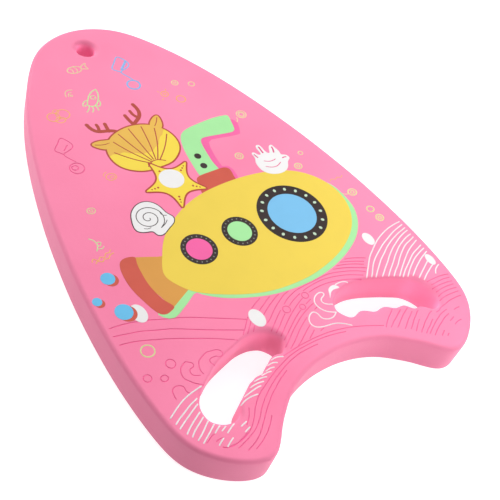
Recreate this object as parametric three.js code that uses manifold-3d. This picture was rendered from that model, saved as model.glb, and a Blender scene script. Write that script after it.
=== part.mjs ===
// Kickboard float: a one-piece closed-cell EVA foam swim board with two hand
// slots, a tail notch and a leash hole, decorated on its top face with a thin
// heat-transfer ink film made of separate coloured islands.
//
// Millimetres. +Y points from the notched tail to the rounded nose, +X across
// the board, +Z up out of the printed face. The origin is the middle of the
// underside of the bounding box.

import * as THREE from 'three';
import * as BufferGeometryUtils from 'three/addons/utils/BufferGeometryUtils.js';
import Module from 'manifold-3d';

const wasm = await Module();
wasm.setup();

// ---------------------------------------------------------------- dimensions
const LENGTH = 430;            // tail lobes to nose, along Y
const WIDTH = 294.5;           // widest point, along X
const THICK = 30;              // foam sheet thickness, along Z
const EDGE_R = 3.5;            // routed edge rounding, top and bottom
const EDGE_STEPS = 3;          // facets in that rounding
const FILM = 0.125;            // thickness of the printed film
const GAP = 0.3;               // clear line between neighbouring ink islands
const LEASH_R = 8.3;           // leash hole, wall radius
const LEASH_X = -0.6, LEASH_Y = 403.2;
const PORT_BIG = { x: 56.2, y: 168.2, ro: 30.6, ri: 21.3 };
const PORT_MID = { x: 2.8, y: 171.2, ro: 15.0, ri: 10.3 };
const PORT_END = { x: -38.1, y: 170.0, ro: 15.0, ri: 10.7 };
const STRIPE_W = 1.05;         // width of the white wave stripes

// Half outline, measured along the centre line from the tail (y = 0) to the
// nose (y = LENGTH); the other half is its mirror image.
const HALF_OUTLINE = [
  [0, 430], [19.02, 427.2], [40.62, 416.64], [59.92, 396.39], [77.89, 368.96],
  [93.32, 338.58], [106.13, 306.91], [116.57, 275.82], [125.47, 244.83],
  [132.83, 213.93], [139.01, 182.33], [143.48, 150.41], [146.43, 118.18],
  [147.26, 87.36], [145.97, 58.42], [140.8, 34.89], [125.34, 14.45],
  [103.53, 1.21], [88.94, 1.89], [73.4, 15.73], [63.38, 24.4], [50.3, 33.9],
  [35.67, 40.54], [24.11, 43.78], [12.36, 45.7], [0, 46.25],
];

// Right-hand slot. Its rear rim carries the finger scallops.
const SLOT_RIGHT = [
  [28.3, 74.5], [30.3, 80], [34.6, 84.4], [41, 87.6], [49, 89.3], [57.5, 89.6],
  [66, 88.2], [74.5, 85.6], [83, 82.1], [91, 78.5], [99, 74.5], [106.5, 70.2],
  [112, 64.2], [115.4, 56.5], [116.3, 49], [114.6, 42.6], [110, 38.8],
  [104.6, 39], [100.2, 42.2], [97, 45.3], [93.6, 46.4], [90.2, 46.8],
  [87.4, 49], [84.8, 52.2], [81.2, 54], [76.6, 54.3], [72.4, 56.1],
  [68.8, 58.9], [64.6, 60.2], [60.3, 59.8], [56.4, 60], [53, 61.9],
  [49.4, 64.2], [45.6, 65.6], [41.6, 64.9], [37.5, 64], [33.5, 65.3],
  [30.4, 69.2],
];

// Left-hand slot: cut by the same tool path, but a little narrower in front and
// fuller at its outer rear corner.
const SLOT_LEFT = [
  [-28.2, 74.6], [-30.1, 78.8], [-33.7, 83.4], [-37.6, 85.5], [-42.2, 87], [-47.5, 87.7],
  [-52.5, 87.7], [-57.5, 87.2], [-62, 86.2], [-66.7, 85], [-71.3, 83.8], [-77.1, 82.2],
  [-83.1, 80.3], [-88.2, 78.3], [-92.6, 75.9], [-96.6, 73.4], [-101.2, 70.8], [-106, 67.6],
  [-110.6, 64], [-114.2, 60], [-116.3, 56.2], [-117.3, 52.3], [-117.4, 49], [-117, 45.7],
  [-115.3, 42.4], [-112.5, 39.5], [-109.2, 37.3], [-105.8, 36.2], [-102.4, 35.8], [-99.2, 35.9],
  [-96.4, 36.8], [-94.2, 38.6], [-92.5, 41.2], [-90.7, 43.9], [-88.9, 45.9], [-86.9, 47.2],
  [-84.7, 48.3], [-82.3, 49.6], [-79.5, 50.8], [-76.7, 52.6], [-73.8, 54.9], [-70.7, 55.8], [-67.8, 56.8], [-64.4, 57.3],
  [-60.9, 57.1], [-58.3, 57.8], [-55.7, 59.8], [-52.5, 61.5], [-49.4, 63.1], [-46.6, 64.7],
  [-43.2, 65.4], [-39.6, 64.9], [-36.2, 64.3], [-32.8, 65.6], [-30.2, 68.7], [-28.6, 71.8],
];

// --------------------------------------------------------------- 2D helpers
// Closed cubic spline through the points, by the chord-length parameter.
function closedSpline(points, perSpan) {
  const n = points.length;
  const h = points.map((p, i) => {
    const q = points[(i + 1) % n];
    return Math.sqrt(Math.hypot(q[0] - p[0], q[1] - p[1]));
  });
  const second = [0, 1].map((axis) => {
    // Periodic system for the second derivatives, solved by elimination.
    const A = Array.from({ length: n }, () => new Float64Array(n + 1));
    for (let i = 0; i < n; i++) {
      const l = (i + n - 1) % n, r = (i + 1) % n;
      A[i][l] += h[l];
      A[i][i] += 2 * (h[l] + h[i]);
      A[i][r] += h[i];
      A[i][n] = 6 * ((points[r][axis] - points[i][axis]) / h[i]
        - (points[i][axis] - points[l][axis]) / h[l]);
    }
    for (let c = 0; c < n; c++) {
      let p = c;
      for (let r = c + 1; r < n; r++) if (Math.abs(A[r][c]) > Math.abs(A[p][c])) p = r;
      [A[c], A[p]] = [A[p], A[c]];
      for (let r = 0; r < n; r++) {
        if (r === c || A[r][c] === 0) continue;
        const k = A[r][c] / A[c][c];
        for (let j = c; j <= n; j++) A[r][j] -= k * A[c][j];
      }
    }
    return A.map((row, i) => row[n] / row[i]);
  });
  const out = [];
  for (let i = 0; i < n; i++) {
    const r = (i + 1) % n;
    for (let s = 0; s < perSpan; s++) {
      const b = s / perSpan, a = 1 - b;
      out.push([0, 1].map((axis) => a * points[i][axis] + b * points[r][axis]
        + ((a * a * a - a) * second[axis][i] + (b * b * b - b) * second[axis][r]) * h[i] * h[i] / 6));
    }
  }
  return out;
}

const area = (pts) => pts.reduce((s, p, i) => {
  const q = pts[(i + 1) % pts.length];
  return s + p[0] * q[1] - q[0] * p[1];
}, 0) / 2;

const ccw = (pts) => (area(pts) < 0 ? pts.slice().reverse() : pts);

// Moves every point of a loop outward by d along its own normal.
function grow(pts, d) {
  const loop = ccw(pts), n = loop.length;
  return loop.map((p, i) => {
    const a = loop[(i + n - 1) % n], b = loop[(i + 1) % n];
    const e1 = new THREE.Vector2(p[0] - a[0], p[1] - a[1]).normalize();
    const e2 = new THREE.Vector2(b[0] - p[0], b[1] - p[1]).normalize();
    const m = new THREE.Vector2(e1.y + e2.y, -e1.x - e2.x).normalize();
    const c = Math.max(0.5, m.x * e1.y - m.y * e1.x);
    return [p[0] + m.x * d / c, p[1] + m.y * d / c];
  });
}

const circle = (x, y, r, n = 40, ry = r, turn = 0) => Array.from({ length: n }, (_, i) => {
  const t = 2 * Math.PI * i / n, c = Math.cos(turn), s = Math.sin(turn);
  const u = r * Math.cos(t), v = ry * Math.sin(t);
  return [x + u * c - v * s, y + u * s + v * c];
});

// Outline of a line drawn through the points with a round-ended pen.
function stroke(points, width, steps = 9, taper = 0) {
  const path = new THREE.SplineCurve(points.map((p) => new THREE.Vector2(...p)));
  const c = path.getSpacedPoints(steps);
  const left = [], right = [];
  c.forEach((p, i) => {
    const a = c[Math.max(0, i - 1)], b = c[Math.min(steps, i + 1)];
    const d = b.clone().sub(a).normalize();
    const w = width / 2 * (1 - taper * i / steps);
    left.push([p.x - d.y * w, p.y + d.x * w]);
    right.push([p.x + d.y * w, p.y - d.x * w]);
  });
  const cap = (p, d, w) => [p.x + d.x * w * 0.8, p.y + d.y * w * 0.8];
  const d0 = c[0].clone().sub(c[1]).normalize();
  const d1 = c[steps].clone().sub(c[steps - 1]).normalize();
  return [cap(c[0], d0, width / 2), ...right,
    cap(c[steps], d1, width / 2 * (1 - taper)), ...left.reverse()];
}

// ------------------------------------------------------------- solid helpers
const shapeOf = (outer, holes = []) => {
  const shape = new THREE.Shape(ccw(outer).map((p) => new THREE.Vector2(p[0], p[1] - LENGTH / 2)));
  for (const h of holes) {
    shape.holes.push(new THREE.Path(ccw(h).reverse().map((p) => new THREE.Vector2(p[0], p[1] - LENGTH / 2))));
  }
  return shape;
};

const slab = (outer, holes = [], z0 = THICK, z1 = THICK + FILM) => {
  const g = new THREE.ExtrudeGeometry(shapeOf(outer, holes), { depth: z1 - z0, bevelEnabled: false });
  g.translate(0, 0, z0);
  return g;
};

function toSolid(geometry) {
  const g = geometry.clone();
  g.deleteAttribute('normal');
  g.deleteAttribute('uv');
  const m = BufferGeometryUtils.mergeVertices(g, 1e-4);
  return new wasm.Manifold(new wasm.Mesh({
    numProp: 3,
    vertProperties: new Float32Array(m.attributes.position.array),
    triVerts: new Uint32Array(m.index.array),
  }));
}

function toGeometry(solid) {
  const mesh = solid.getMesh();
  const g = new THREE.BufferGeometry();
  g.setAttribute('position', new THREE.BufferAttribute(new Float32Array(mesh.vertProperties), 3));
  g.setIndex(new THREE.BufferAttribute(new Uint32Array(mesh.triVerts), 1));
  g.computeVertexNormals();
  return g;
}

// An ink island: the area of its outlines, less every island printed over it.
function ink(outlines, over = []) {
  let solid = toSolid(slab(outlines[0]));
  for (const o of outlines.slice(1)) solid = solid.add(toSolid(slab(o)));
  for (const o of over) solid = solid.subtract(toSolid(slab(grow(o, GAP), [], THICK - 1, THICK + 1)));
  const bodies = solid.decompose().sort((a, b) => b.volume() - a.volume());
  return toGeometry(bodies[0]);
}

// ----------------------------------------------------------------- assembly
const board = new THREE.Group();
const FOAM = new THREE.MeshStandardMaterial({ color: 0xff7ea9, roughness: 0.75, metalness: 0 });
const INK = {};
for (const [name, color] of Object.entries({
  yellow: 0xffdd55, mint: 0xa6f0a6, blue: 0x87c8f5, magenta: 0xff66b0, dark: 0x3c3232,
  red: 0xcf5a50, ochre: 0xd9a056, brown: 0xb4553f, tan: 0xe0a95f, white: 0xf5f5f5, grey: 0x6e6260,
})) INK[name] = new THREE.MeshStandardMaterial({ color, roughness: 0.55, metalness: 0 });

function add(name, geometry, material) {
  const mesh = new THREE.Mesh(geometry, material);
  mesh.name = name;
  board.add(mesh);
}

// --- foam board: one sheet with rounded edges, cut by both slots and the hole
{
  const half = HALF_OUTLINE;
  const control = [...half, ...half.slice(1, -1).reverse().map(([x, y]) => [-x, y])];
  let outline = closedSpline(control, 3);
  const xs = outline.map((p) => p[0]), ys = outline.map((p) => p[1]);
  const kx = WIDTH / (Math.max(...xs) - Math.min(...xs));
  const y0 = Math.min(...ys), ky = LENGTH / (Math.max(...ys) - y0);
  outline = outline.map(([x, y]) => [x * kx, (y - y0) * ky]);
  const foam = new THREE.ExtrudeGeometry(
    shapeOf(outline, [closedSpline(SLOT_RIGHT, 2), closedSpline(SLOT_LEFT, 2),
      circle(LEASH_X, LEASH_Y, LEASH_R, 28)]),
    {
      depth: THICK - 2 * EDGE_R, steps: 1, bevelEnabled: true, bevelThickness: EDGE_R,
      bevelSize: EDGE_R, bevelOffset: -EDGE_R, bevelSegments: EDGE_STEPS,
    },
  );
  foam.translate(0, 0, EDGE_R);
  add('foam_board', foam, FOAM);
}

// --- submarine print
const HULL = closedSpline([
  [-77, 160.5], [-73.6, 149.5], [-66, 139], [-50, 128], [-30, 118.5], [-10, 112.3], [10, 109.9],
  [30, 110], [50, 113.2], [70, 119.2], [90, 130.2], [103, 143.5], [109.6, 158], [110.6, 171],
  [106.5, 186], [95, 201], [80, 210.2], [60, 216], [40, 218.6], [20, 219], [0, 217.4],
  [-20, 212.6], [-40, 203.2], [-58, 190], [-70, 174.5],
], 3);
const HULL_SHADE = closedSpline([
  [-64, 141], [-63, 135.6], [-50, 124.6], [-30, 115], [-10, 108.8], [10, 106], [30, 105.6],
  [50, 108.2], [70, 113.8], [90, 123.4], [104, 136], [111.6, 150], [113, 163], [111.4, 176],
  [108, 183], [103, 186], [60, 190], [0, 180], [-50, 160],
], 3);
const TAIL_INNER = [
  [-88.2, 184.4], [-80, 181.1], [-72, 177.5], [-66, 176], [-60, 160], [-62, 145], [-66, 142.4],
  [-75, 138.4], [-86.6, 133.2], [-89.6, 140.5], [-92, 150], [-92.6, 160], [-91.6, 170], [-89.6, 179.5],
];
const TAIL_OUTER = closedSpline([
  [-95.5, 186.9], [-91.5, 186.3], [-88.2, 184.4], [-89.6, 179.5], [-91.6, 170], [-92.6, 160],
  [-92, 150], [-89.6, 140.5], [-86.6, 133.2], [-90.2, 131.2], [-94.4, 130.2], [-98.4, 131.4],
  [-101, 135], [-104, 146], [-106.3, 160], [-105.8, 172], [-103.6, 181], [-100, 185.8],
], 2);
const TAIL_SHADE = [
  [-101.2, 132.6], [-99, 128.8], [-95.6, 126], [-91.6, 124.9], [-87.4, 126], [-76, 131.4],
  [-66.6, 136.4], [-63.6, 136.4], [-62, 141], [-66, 146], [-80, 142], [-98, 138],
];
const PERISCOPE = closedSpline([
  [8.2, 236.6], [8.6, 246], [10.2, 256], [12.2, 265], [15, 273], [18.6, 279], [24, 282.8], [33, 285],
  [46, 286.2], [58, 286.8], [68.6, 286], [73, 284.4], [72.6, 280], [70.4, 272.6], [68.2, 267.4],
  [65, 266], [57, 266.8], [47, 268.4], [38.6, 269.6], [33.4, 269], [30.6, 264.6], [29, 257.6],
  [27.6, 248.6], [26.9, 240], [26.4, 236.6], [20, 235.6], [12, 235.4],
], 2);
const SNORKEL_BASE = closedSpline([
  [-1.6, 218.4], [0.6, 226], [2.4, 231.6], [6, 233.8], [14, 234.4], [26, 234.3], [32.6, 233.6],
  [35.6, 231], [35.6, 226.6], [34.4, 221], [33.2, 219.8], [24, 220.2], [10, 219.8],
], 2);
const SNORKEL_SHADE = [
  [12, 232], [13, 262], [20, 274], [40, 278], [60, 280], [73, 279.5], [75.2, 277.5], [76.4, 273.6],
  [73.8, 267], [70.4, 261.6], [68, 261.4], [60, 262.2], [50, 264], [41.6, 265.2], [37.6, 263.4],
  [35.2, 258], [33.4, 250], [32.2, 242], [31.8, 235.6], [36.8, 234], [38.6, 229], [37.6, 221],
  [36.4, 217.6], [34, 217.4], [30, 222],
];
const ring = (p, d = 0, n = 40) => circle(p.x, p.y, p.ro + d, n);
const STAR = closedSpline(Array.from({ length: 10 }, (_, i) => {
  const t = (35 + 36 * i) * Math.PI / 180, r = i % 2 ? 14.2 : 26.5;
  return [-17 + r * Math.cos(t), 236.4 + r * Math.sin(t)];
}), 5);
const SHELL = closedSpline([
  [-18, 255.6], [-30, 256.2], [-40.5, 260.6], [-48.4, 268.6], [-50.8, 279], [-48.6, 289], [-42, 297],
  [-32, 302.4], [-19, 304.8], [-6, 303], [4.4, 297], [10.8, 288], [12.6, 277], [9, 267], [0.6, 259.6],
  [-7, 256.4],
], 3);
const SNAIL = closedSpline([
  [-72.6, 205.4], [-71.6, 214], [-67.4, 222], [-61, 227], [-54, 228.6], [-47.4, 226.2], [-43, 219.6],
  [-41.4, 211.6], [-38.8, 205.6], [-41.4, 201], [-48.4, 197.4], [-55.4, 194.2], [-60, 195.6],
  [-61.4, 199.6], [-66, 201.4],
], 3);
const CORAL = [
  stroke([[-28, 300], [-31, 304.4], [-38, 307.4], [-45, 309.6], [-48.4, 314], [-49.6, 319.4]], 3.4, 9),
  stroke([[-36, 306.4], [-35.6, 310], [-34.8, 315]], 3.2, 4),
  stroke([[-44, 309], [-42.4, 312.4], [-42, 316.6]], 2.8, 4),
  stroke([[-16, 300], [-12, 305.4], [-5, 310], [-0.6, 314.6], [1, 320.6], [0.4, 326.6]], 3.4, 9),
  stroke([[-12, 305], [-13, 311], [-13.4, 317.4]], 3.2, 4),
  stroke([[-3.6, 311], [-6, 315.4], [-6.4, 320.6]], 2.8, 4),
];
const LEAF_L = closedSpline([
  [-41, 291], [-48, 289], [-54, 292.4], [-57.4, 298], [-51, 299.6], [-44, 298.2], [-38, 296],
], 3);
const LEAF_R = closedSpline([
  [0.6, 299], [4, 303.8], [8, 306.6], [12.8, 307.4], [12.4, 300], [9.4, 294.4], [4.8, 292.4],
], 3);
const over = {
  reef: [grow(SHELL, 1), ...CORAL, grow(LEAF_L, 0.9), grow(LEAF_R, 0.9)],
  star: [grow(STAR, 1)],
  snail: [grow(SNAIL, 0.7)],
};
const ANEMONE = closedSpline([
  [61.4, 224], [62.4, 216.6], [67, 211.4], [74, 208.8], [81, 209], [87, 212.6], [91, 217.6],
  [94.6, 220.2], [93.6, 224.4], [90, 226.6], [90.4, 230], [89.6, 235.6], [88.6, 239.4],
  [85.6, 238.8], [82.6, 234.4], [80.8, 232], [79, 233.4], [78.4, 239.4], [77.2, 243.8],
  [74.4, 243.6], [73, 238.6], [72.4, 233.8], [70, 234.2], [67.6, 238], [65.2, 237.4],
  [64.8, 232.6], [63, 229],
], 2);

add('print_hull_yellow', (() => {
  let g = ink([HULL], [...over.star, ...over.snail, ring(PORT_BIG, 0, 44), ring(PORT_MID, 0, 32),
    ring(PORT_END, 0, 32), ANEMONE]);
  return g;
})(), INK.yellow);
add('print_hull_shade', ink([HULL_SHADE], [HULL]), INK.mint);
add('print_tail_inner', ink([TAIL_INNER], [HULL, TAIL_OUTER]), INK.ochre);
add('print_tail_outer', ink([TAIL_OUTER]), INK.red);
add('print_tail_shade', ink([TAIL_SHADE], [HULL, grow(HULL_SHADE, 0), TAIL_OUTER, TAIL_INNER]), INK.mint);

for (const [name, p, n] of [['large', PORT_BIG, 44], ['middle', PORT_MID, 32], ['end', PORT_END, 32]]) {
  add(`print_porthole_ring_${name}`, slab(circle(p.x, p.y, p.ro, n), [circle(p.x, p.y, p.ri, n)]), INK.dark);
}
add('print_porthole_glass_large', slab(circle(PORT_BIG.x, PORT_BIG.y, PORT_BIG.ri - GAP, 44)), INK.blue);
add('print_porthole_glass_middle', slab(circle(PORT_MID.x, PORT_MID.y, PORT_MID.ri - GAP, 32)), INK.mint);
add('print_porthole_glass_end', slab(circle(PORT_END.x, PORT_END.y, PORT_END.ri - GAP, 32)), INK.magenta);

const DOT_UP = circle(18.6, 253.4, 3.1, 16), DOT_LOW = circle(17.1, 242.2, 3.1, 16);
add('print_periscope', ink([PERISCOPE], [DOT_UP, DOT_LOW, SNORKEL_BASE]), INK.mint);
add('print_periscope_dot_upper', slab(DOT_UP), INK.dark);
add('print_periscope_dot_lower', slab(DOT_LOW), INK.dark);
add('print_periscope_base', ink([SNORKEL_BASE], [HULL, ...over.star]), INK.red);
add('print_periscope_shade', ink([SNORKEL_SHADE], [PERISCOPE, SNORKEL_BASE, HULL]), INK.magenta);

// --- bubbles from the propeller, each a blue disc over an offset red one
const DAB_TAIL = circle(-113.3, 139.8, 5.9, 22, 8.3);
[[-117.2, 176, 5.5, 1.7, -2.3], [-135, 161.5, 3.7, 1.2, -2.2], [-122.3, 145.6, 6.9, 1.9, -2.5]].forEach(
  ([x, y, r, dx, dy], i) => {
    const disc = circle(x, y, r, 24);
    add(`print_bubble_${i + 1}`, slab(disc), INK.blue);
    add(`print_bubble_${i + 1}_shade`, ink([circle(x + dx, y + dy, r, 24)], [disc]), INK.red);
    if (i === 2) add('print_dab_tail', ink([DAB_TAIL], [disc, circle(x + dx, y + dy, r, 24)]), INK.white);
  },
);
add('print_dab_centre', slab(circle(-35.5, 97, 6, 22, 8.2)), INK.white);
add('print_dab_nose_side', slab(circle(100.4, 118.2, 4.7, 22, 6.6)), INK.white);

// --- reef group over the hull: scallop with coral and weed, starfish, snail
add('print_reef_outline', ink(over.reef, [SHELL, LEAF_L, LEAF_R]), INK.brown);
{
  const BAND = closedSpline([
    [-56, 281], [-46, 281.4], [-37, 280], [-30, 275.6], [-24, 272.6], [-18, 271.6], [-12, 273],
    [-5, 277.4], [1, 284], [8, 289.6], [18, 290], [18, 312], [-20, 316], [-58, 308],
  ], 2);
  const shell = toSolid(slab(SHELL));
  const cut = toSolid(slab(BAND, [], THICK - 1, THICK + 1));
  const wide = toSolid(slab(grow(BAND, GAP), [], THICK - 1, THICK + 1));
  const biggest = (s) => toGeometry(s.decompose().sort((a, b) => b.volume() - a.volume())[0]);
  add('print_scallop_band', biggest(shell.intersect(cut)), INK.tan);
  add('print_scallop_body', biggest(shell.subtract(wide)), INK.yellow);
}
add('print_leaf_left', ink([LEAF_L], [grow(SHELL, 1)]), INK.tan);
add('print_leaf_right', ink([LEAF_R], [grow(SHELL, 1)]), INK.tan);
const SPOT = circle(-16.8, 240.6, 10.8, 26, 10.2);
add('print_starfish_outline', ink(over.star, [STAR, ...over.reef.slice(0, 1)]), INK.brown);
add('print_starfish', ink([STAR], [SPOT, ...over.reef.slice(0, 1)]), INK.yellow);
add('print_starfish_spot', slab(SPOT), INK.white);
add('print_snail_outline', ink(over.snail, [SNAIL]), INK.grey);
add('print_snail', slab(SNAIL), INK.white);
add('print_anemone', slab(ANEMONE), INK.white);

// --- white wave stripes fanning out beside the two slots
[
  [[71, 87.3], [80, 95.5], [90, 104], [100, 110], [110, 115], [120, 118.3], [130, 120.2], [140, 120.8]],
  [[75.5, 86], [85, 94.8], [95, 101.5], [105, 106.5], [115, 110.5], [125, 114], [140, 117.3]],
  [[79, 84.3], [90, 92.5], [100, 98.8], [110, 104.3], [120, 108.5], [130, 111.5], [140, 113.5]],
  [[84.5, 82.3], [95, 89.3], [105, 96], [115, 101.8], [125, 106.2], [140, 110.3]],
  [[89.5, 80], [100, 87.2], [110, 94], [120, 99.8], [130, 103.8], [140, 106]],
  [[94, 78], [105, 85.2], [115, 92.3], [125, 98], [140, 102.5]],
  [[98.5, 75.8], [110, 83.8], [120, 90], [130, 95], [140, 98.5]],
  [[101, 74], [112, 81], [123, 87], [134, 91], [140, 92.8]],
  [[104.5, 72], [115, 79.2], [125, 84.5], [140, 89]],
  [[107.5, 69.5], [119, 76.5], [130, 81.8], [140, 85.3]],
  [[112, 66.3], [124, 72.5], [133, 77]],
  [[117, 64], [127, 69], [135.5, 72.3]],
].forEach((pts, i) => {
  const steps = i < 4 ? 11 : i < 8 ? 9 : 7;
  add(`print_wave_right_${String(i + 1).padStart(2, '0')}`, slab(stroke(pts, STRIPE_W, steps)), INK.white);
});
[
  [[-140, 58.2], [-130, 63.4], [-122, 66.2], [-113, 68]],
  [[-139.5, 52.6], [-130, 57.1], [-121.6, 60.4]],
  [[-138.8, 48.5], [-129, 53.4], [-121.4, 56.6]],
  [[-136.8, 43.2], [-129, 48], [-121.6, 51.6]],
  [[-134.6, 39.8], [-127, 44.6], [-121.6, 47.4]],
  [[-132.4, 35.8], [-126, 39.4], [-120.6, 43]],
].forEach((pts, i) => {
  add(`print_wave_left_${String(i + 1).padStart(2, '0')}`, slab(stroke(pts, STRIPE_W, 6)), INK.white);
});

export default board;
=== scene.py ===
"""Looks of the kickboard float: the foam board as a fine mesh with pressed
lines, and every printed ink island as its own thin film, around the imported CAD.

Shapes are written in millimetres, x across the board, y from the tail (0) to
the nose (LENGTH), z up from the underside, and turned into metres in the row's
frame by place().
"""

import math  # noqa: E402

import bpy  # noqa: E402
import numpy as np  # noqa: E402
from mathutils import Matrix, Vector, geometry  # noqa: E402
from mathutils.kdtree import KDTree  # noqa: E402


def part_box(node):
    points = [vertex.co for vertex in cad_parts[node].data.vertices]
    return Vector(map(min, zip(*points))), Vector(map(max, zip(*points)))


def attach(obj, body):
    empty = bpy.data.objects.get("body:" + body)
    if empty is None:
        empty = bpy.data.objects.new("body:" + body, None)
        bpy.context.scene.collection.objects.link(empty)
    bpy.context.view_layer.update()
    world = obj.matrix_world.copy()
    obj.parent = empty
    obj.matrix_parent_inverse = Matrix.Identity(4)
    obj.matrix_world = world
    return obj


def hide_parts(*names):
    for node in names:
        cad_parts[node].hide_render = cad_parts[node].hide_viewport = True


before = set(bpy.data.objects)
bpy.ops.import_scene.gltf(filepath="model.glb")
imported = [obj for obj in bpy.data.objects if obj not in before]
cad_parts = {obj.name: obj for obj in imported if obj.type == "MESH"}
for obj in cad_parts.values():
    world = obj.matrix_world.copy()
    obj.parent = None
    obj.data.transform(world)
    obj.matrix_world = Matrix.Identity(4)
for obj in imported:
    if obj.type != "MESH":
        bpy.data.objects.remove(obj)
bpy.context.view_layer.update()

# ------------------------------------------------------------------ the frame
lo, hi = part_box("foam_board")
LENGTH = (hi.y - lo.y) * 1000.0
WIDTH = (hi.x - lo.x) * 1000.0
TOP = hi.z * 1000.0
BOTTOM = lo.z * 1000.0
Y0 = lo.y * 1000.0
EDGE_R = 3.5
BODY = "root"
rng = np.random.default_rng(7)


def place(xyz):
    """Millimetres of the drawing to metres of the row's frame."""
    a = np.array(xyz, float).reshape(-1, 3)
    return np.c_[a[:, 0], a[:, 1] + Y0, a[:, 2]] / 1000.0


# ------------------------------------------------------------------ the curves
def spline(points, step=1.0, closed=False):
    """Cubic spline through the points; returns points and unit tangents."""
    P = np.array(points, float)
    n = len(P)
    Q = np.vstack([P, P[:1]]) if closed else P
    h = np.sqrt(np.maximum(np.hypot(*np.diff(Q, axis=0).T), 1e-6))
    if not closed and n == 2:
        M = np.zeros_like(P)
    else:
        A = np.zeros((n, n))
        B = np.zeros((n, 2))
        if closed:
            for i in range(n):
                j, k = (i - 1) % n, (i + 1) % n
                A[i, j] += h[j]
                A[i, i] += 2 * (h[j] + h[i])
                A[i, k] += h[i]
                B[i] = 6 * ((P[k] - P[i]) / h[i] - (P[i] - P[j]) / h[j])
        else:
            A[0, 0] = A[-1, -1] = 1.0
            for i in range(1, n - 1):
                A[i, i - 1], A[i, i], A[i, i + 1] = h[i - 1], 2 * (h[i - 1] + h[i]), h[i]
                B[i] = 6 * ((P[i + 1] - P[i]) / h[i] - (P[i] - P[i - 1]) / h[i - 1])
        M = np.linalg.solve(A, B)
    out, tan = [], []
    spans = n if closed else n - 1
    for i in range(spans):
        k = (i + 1) % n
        m = max(1, int(math.ceil(np.hypot(*(P[k] - P[i])) / step)))
        b = np.arange(m) / m
        if not closed and i == spans - 1:
            b = np.arange(m + 1) / m
        a = 1 - b
        out.append(
            np.outer(a, P[i]) + np.outer(b, P[k])
            + (np.outer(a**3 - a, M[i]) + np.outer(b**3 - b, M[k])) * h[i] ** 2 / 6
        )
        tan.append(
            (P[k] - P[i])[None, :] / h[i]
            + (np.outer(1 - 3 * a**2, M[i]) + np.outer(3 * b**2 - 1, M[k])) * h[i] / 6
        )
    out, tan = np.vstack(out), np.vstack(tan)
    return out, tan / np.maximum(np.linalg.norm(tan, axis=1), 1e-9)[:, None]


def area(P):
    Q = np.roll(P, -1, axis=0)
    return 0.5 * float(np.sum(P[:, 0] * Q[:, 1] - Q[:, 0] * P[:, 1]))


def ccw(P):
    P = np.asarray(P, float)
    return P[::-1].copy() if area(P) < 0 else P


def normals(P):
    """Outward unit normals of a counter-clockwise loop."""
    T = np.roll(P, -1, axis=0) - np.roll(P, 1, axis=0)
    T /= np.maximum(np.linalg.norm(T, axis=1), 1e-9)[:, None]
    return np.c_[T[:, 1], -T[:, 0]]


def loop(points, step=1.0):
    return ccw(spline(points, step, True)[0])


def grow(P, d):
    P = ccw(P)
    return P + normals(P) * d


def ellipse(x, y, rx, ry=None, turn=0.0, n=None):
    ry = rx if ry is None else ry
    n = n or max(20, int(2 * math.pi * max(rx, ry) / 0.8))
    t = np.arange(n) * 2 * math.pi / n
    c, s = math.cos(turn), math.sin(turn)
    u, v = rx * np.cos(t), ry * np.sin(t)
    return np.c_[x + u * c - v * s, y + u * s + v * c]


def resample(P, step, closed=False):
    Q = np.vstack([P, P[:1]]) if closed else np.asarray(P, float)
    d = np.r_[0, np.cumsum(np.hypot(*np.diff(Q, axis=0).T))]
    n = max(2, int(round(d[-1] / step)))
    u = np.linspace(0, d[-1], n + 1)
    R = np.c_[np.interp(u, d, Q[:, 0]), np.interp(u, d, Q[:, 1])]
    return R[:-1] if closed else R


# ------------------------------------------------------------- the board shape
HALF = [
    (0, 430), (19.02, 427.2), (40.62, 416.64), (59.92, 396.39), (77.89, 368.96),
    (93.32, 338.58), (106.13, 306.91), (116.57, 275.82), (125.47, 244.83),
    (132.83, 213.93), (139.01, 182.33), (143.48, 150.41), (146.43, 118.18),
    (147.26, 87.36), (145.97, 58.42), (140.8, 34.89), (125.34, 14.45),
    (103.53, 1.21), (88.94, 1.89), (73.4, 15.73), (63.38, 24.4), (50.3, 33.9),
    (35.67, 40.54), (24.11, 43.78), (12.36, 45.7), (0, 46.25),
]
SLOT = [
    (28.3, 74.5), (30.3, 80), (34.6, 84.4), (41, 87.6), (49, 89.3), (57.5, 89.6),
    (66, 88.2), (74.5, 85.6), (83, 82.1), (91, 78.5), (99, 74.5), (106.5, 70.2),
    (112, 64.2), (115.4, 56.5), (116.3, 49), (114.6, 42.6), (110, 38.8),
    (104.6, 39), (100.2, 42.2), (97, 45.3), (93.6, 46.4), (90.2, 46.8),
    (87.4, 49), (84.8, 52.2), (81.2, 54), (76.6, 54.3), (72.4, 56.1),
    (68.8, 58.9), (64.6, 60.2), (60.3, 59.8), (56.4, 60), (53, 61.9),
    (49.4, 64.2), (45.6, 65.6), (41.6, 64.9), (37.5, 64), (33.5, 65.3),
    (30.4, 69.2),
]
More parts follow.
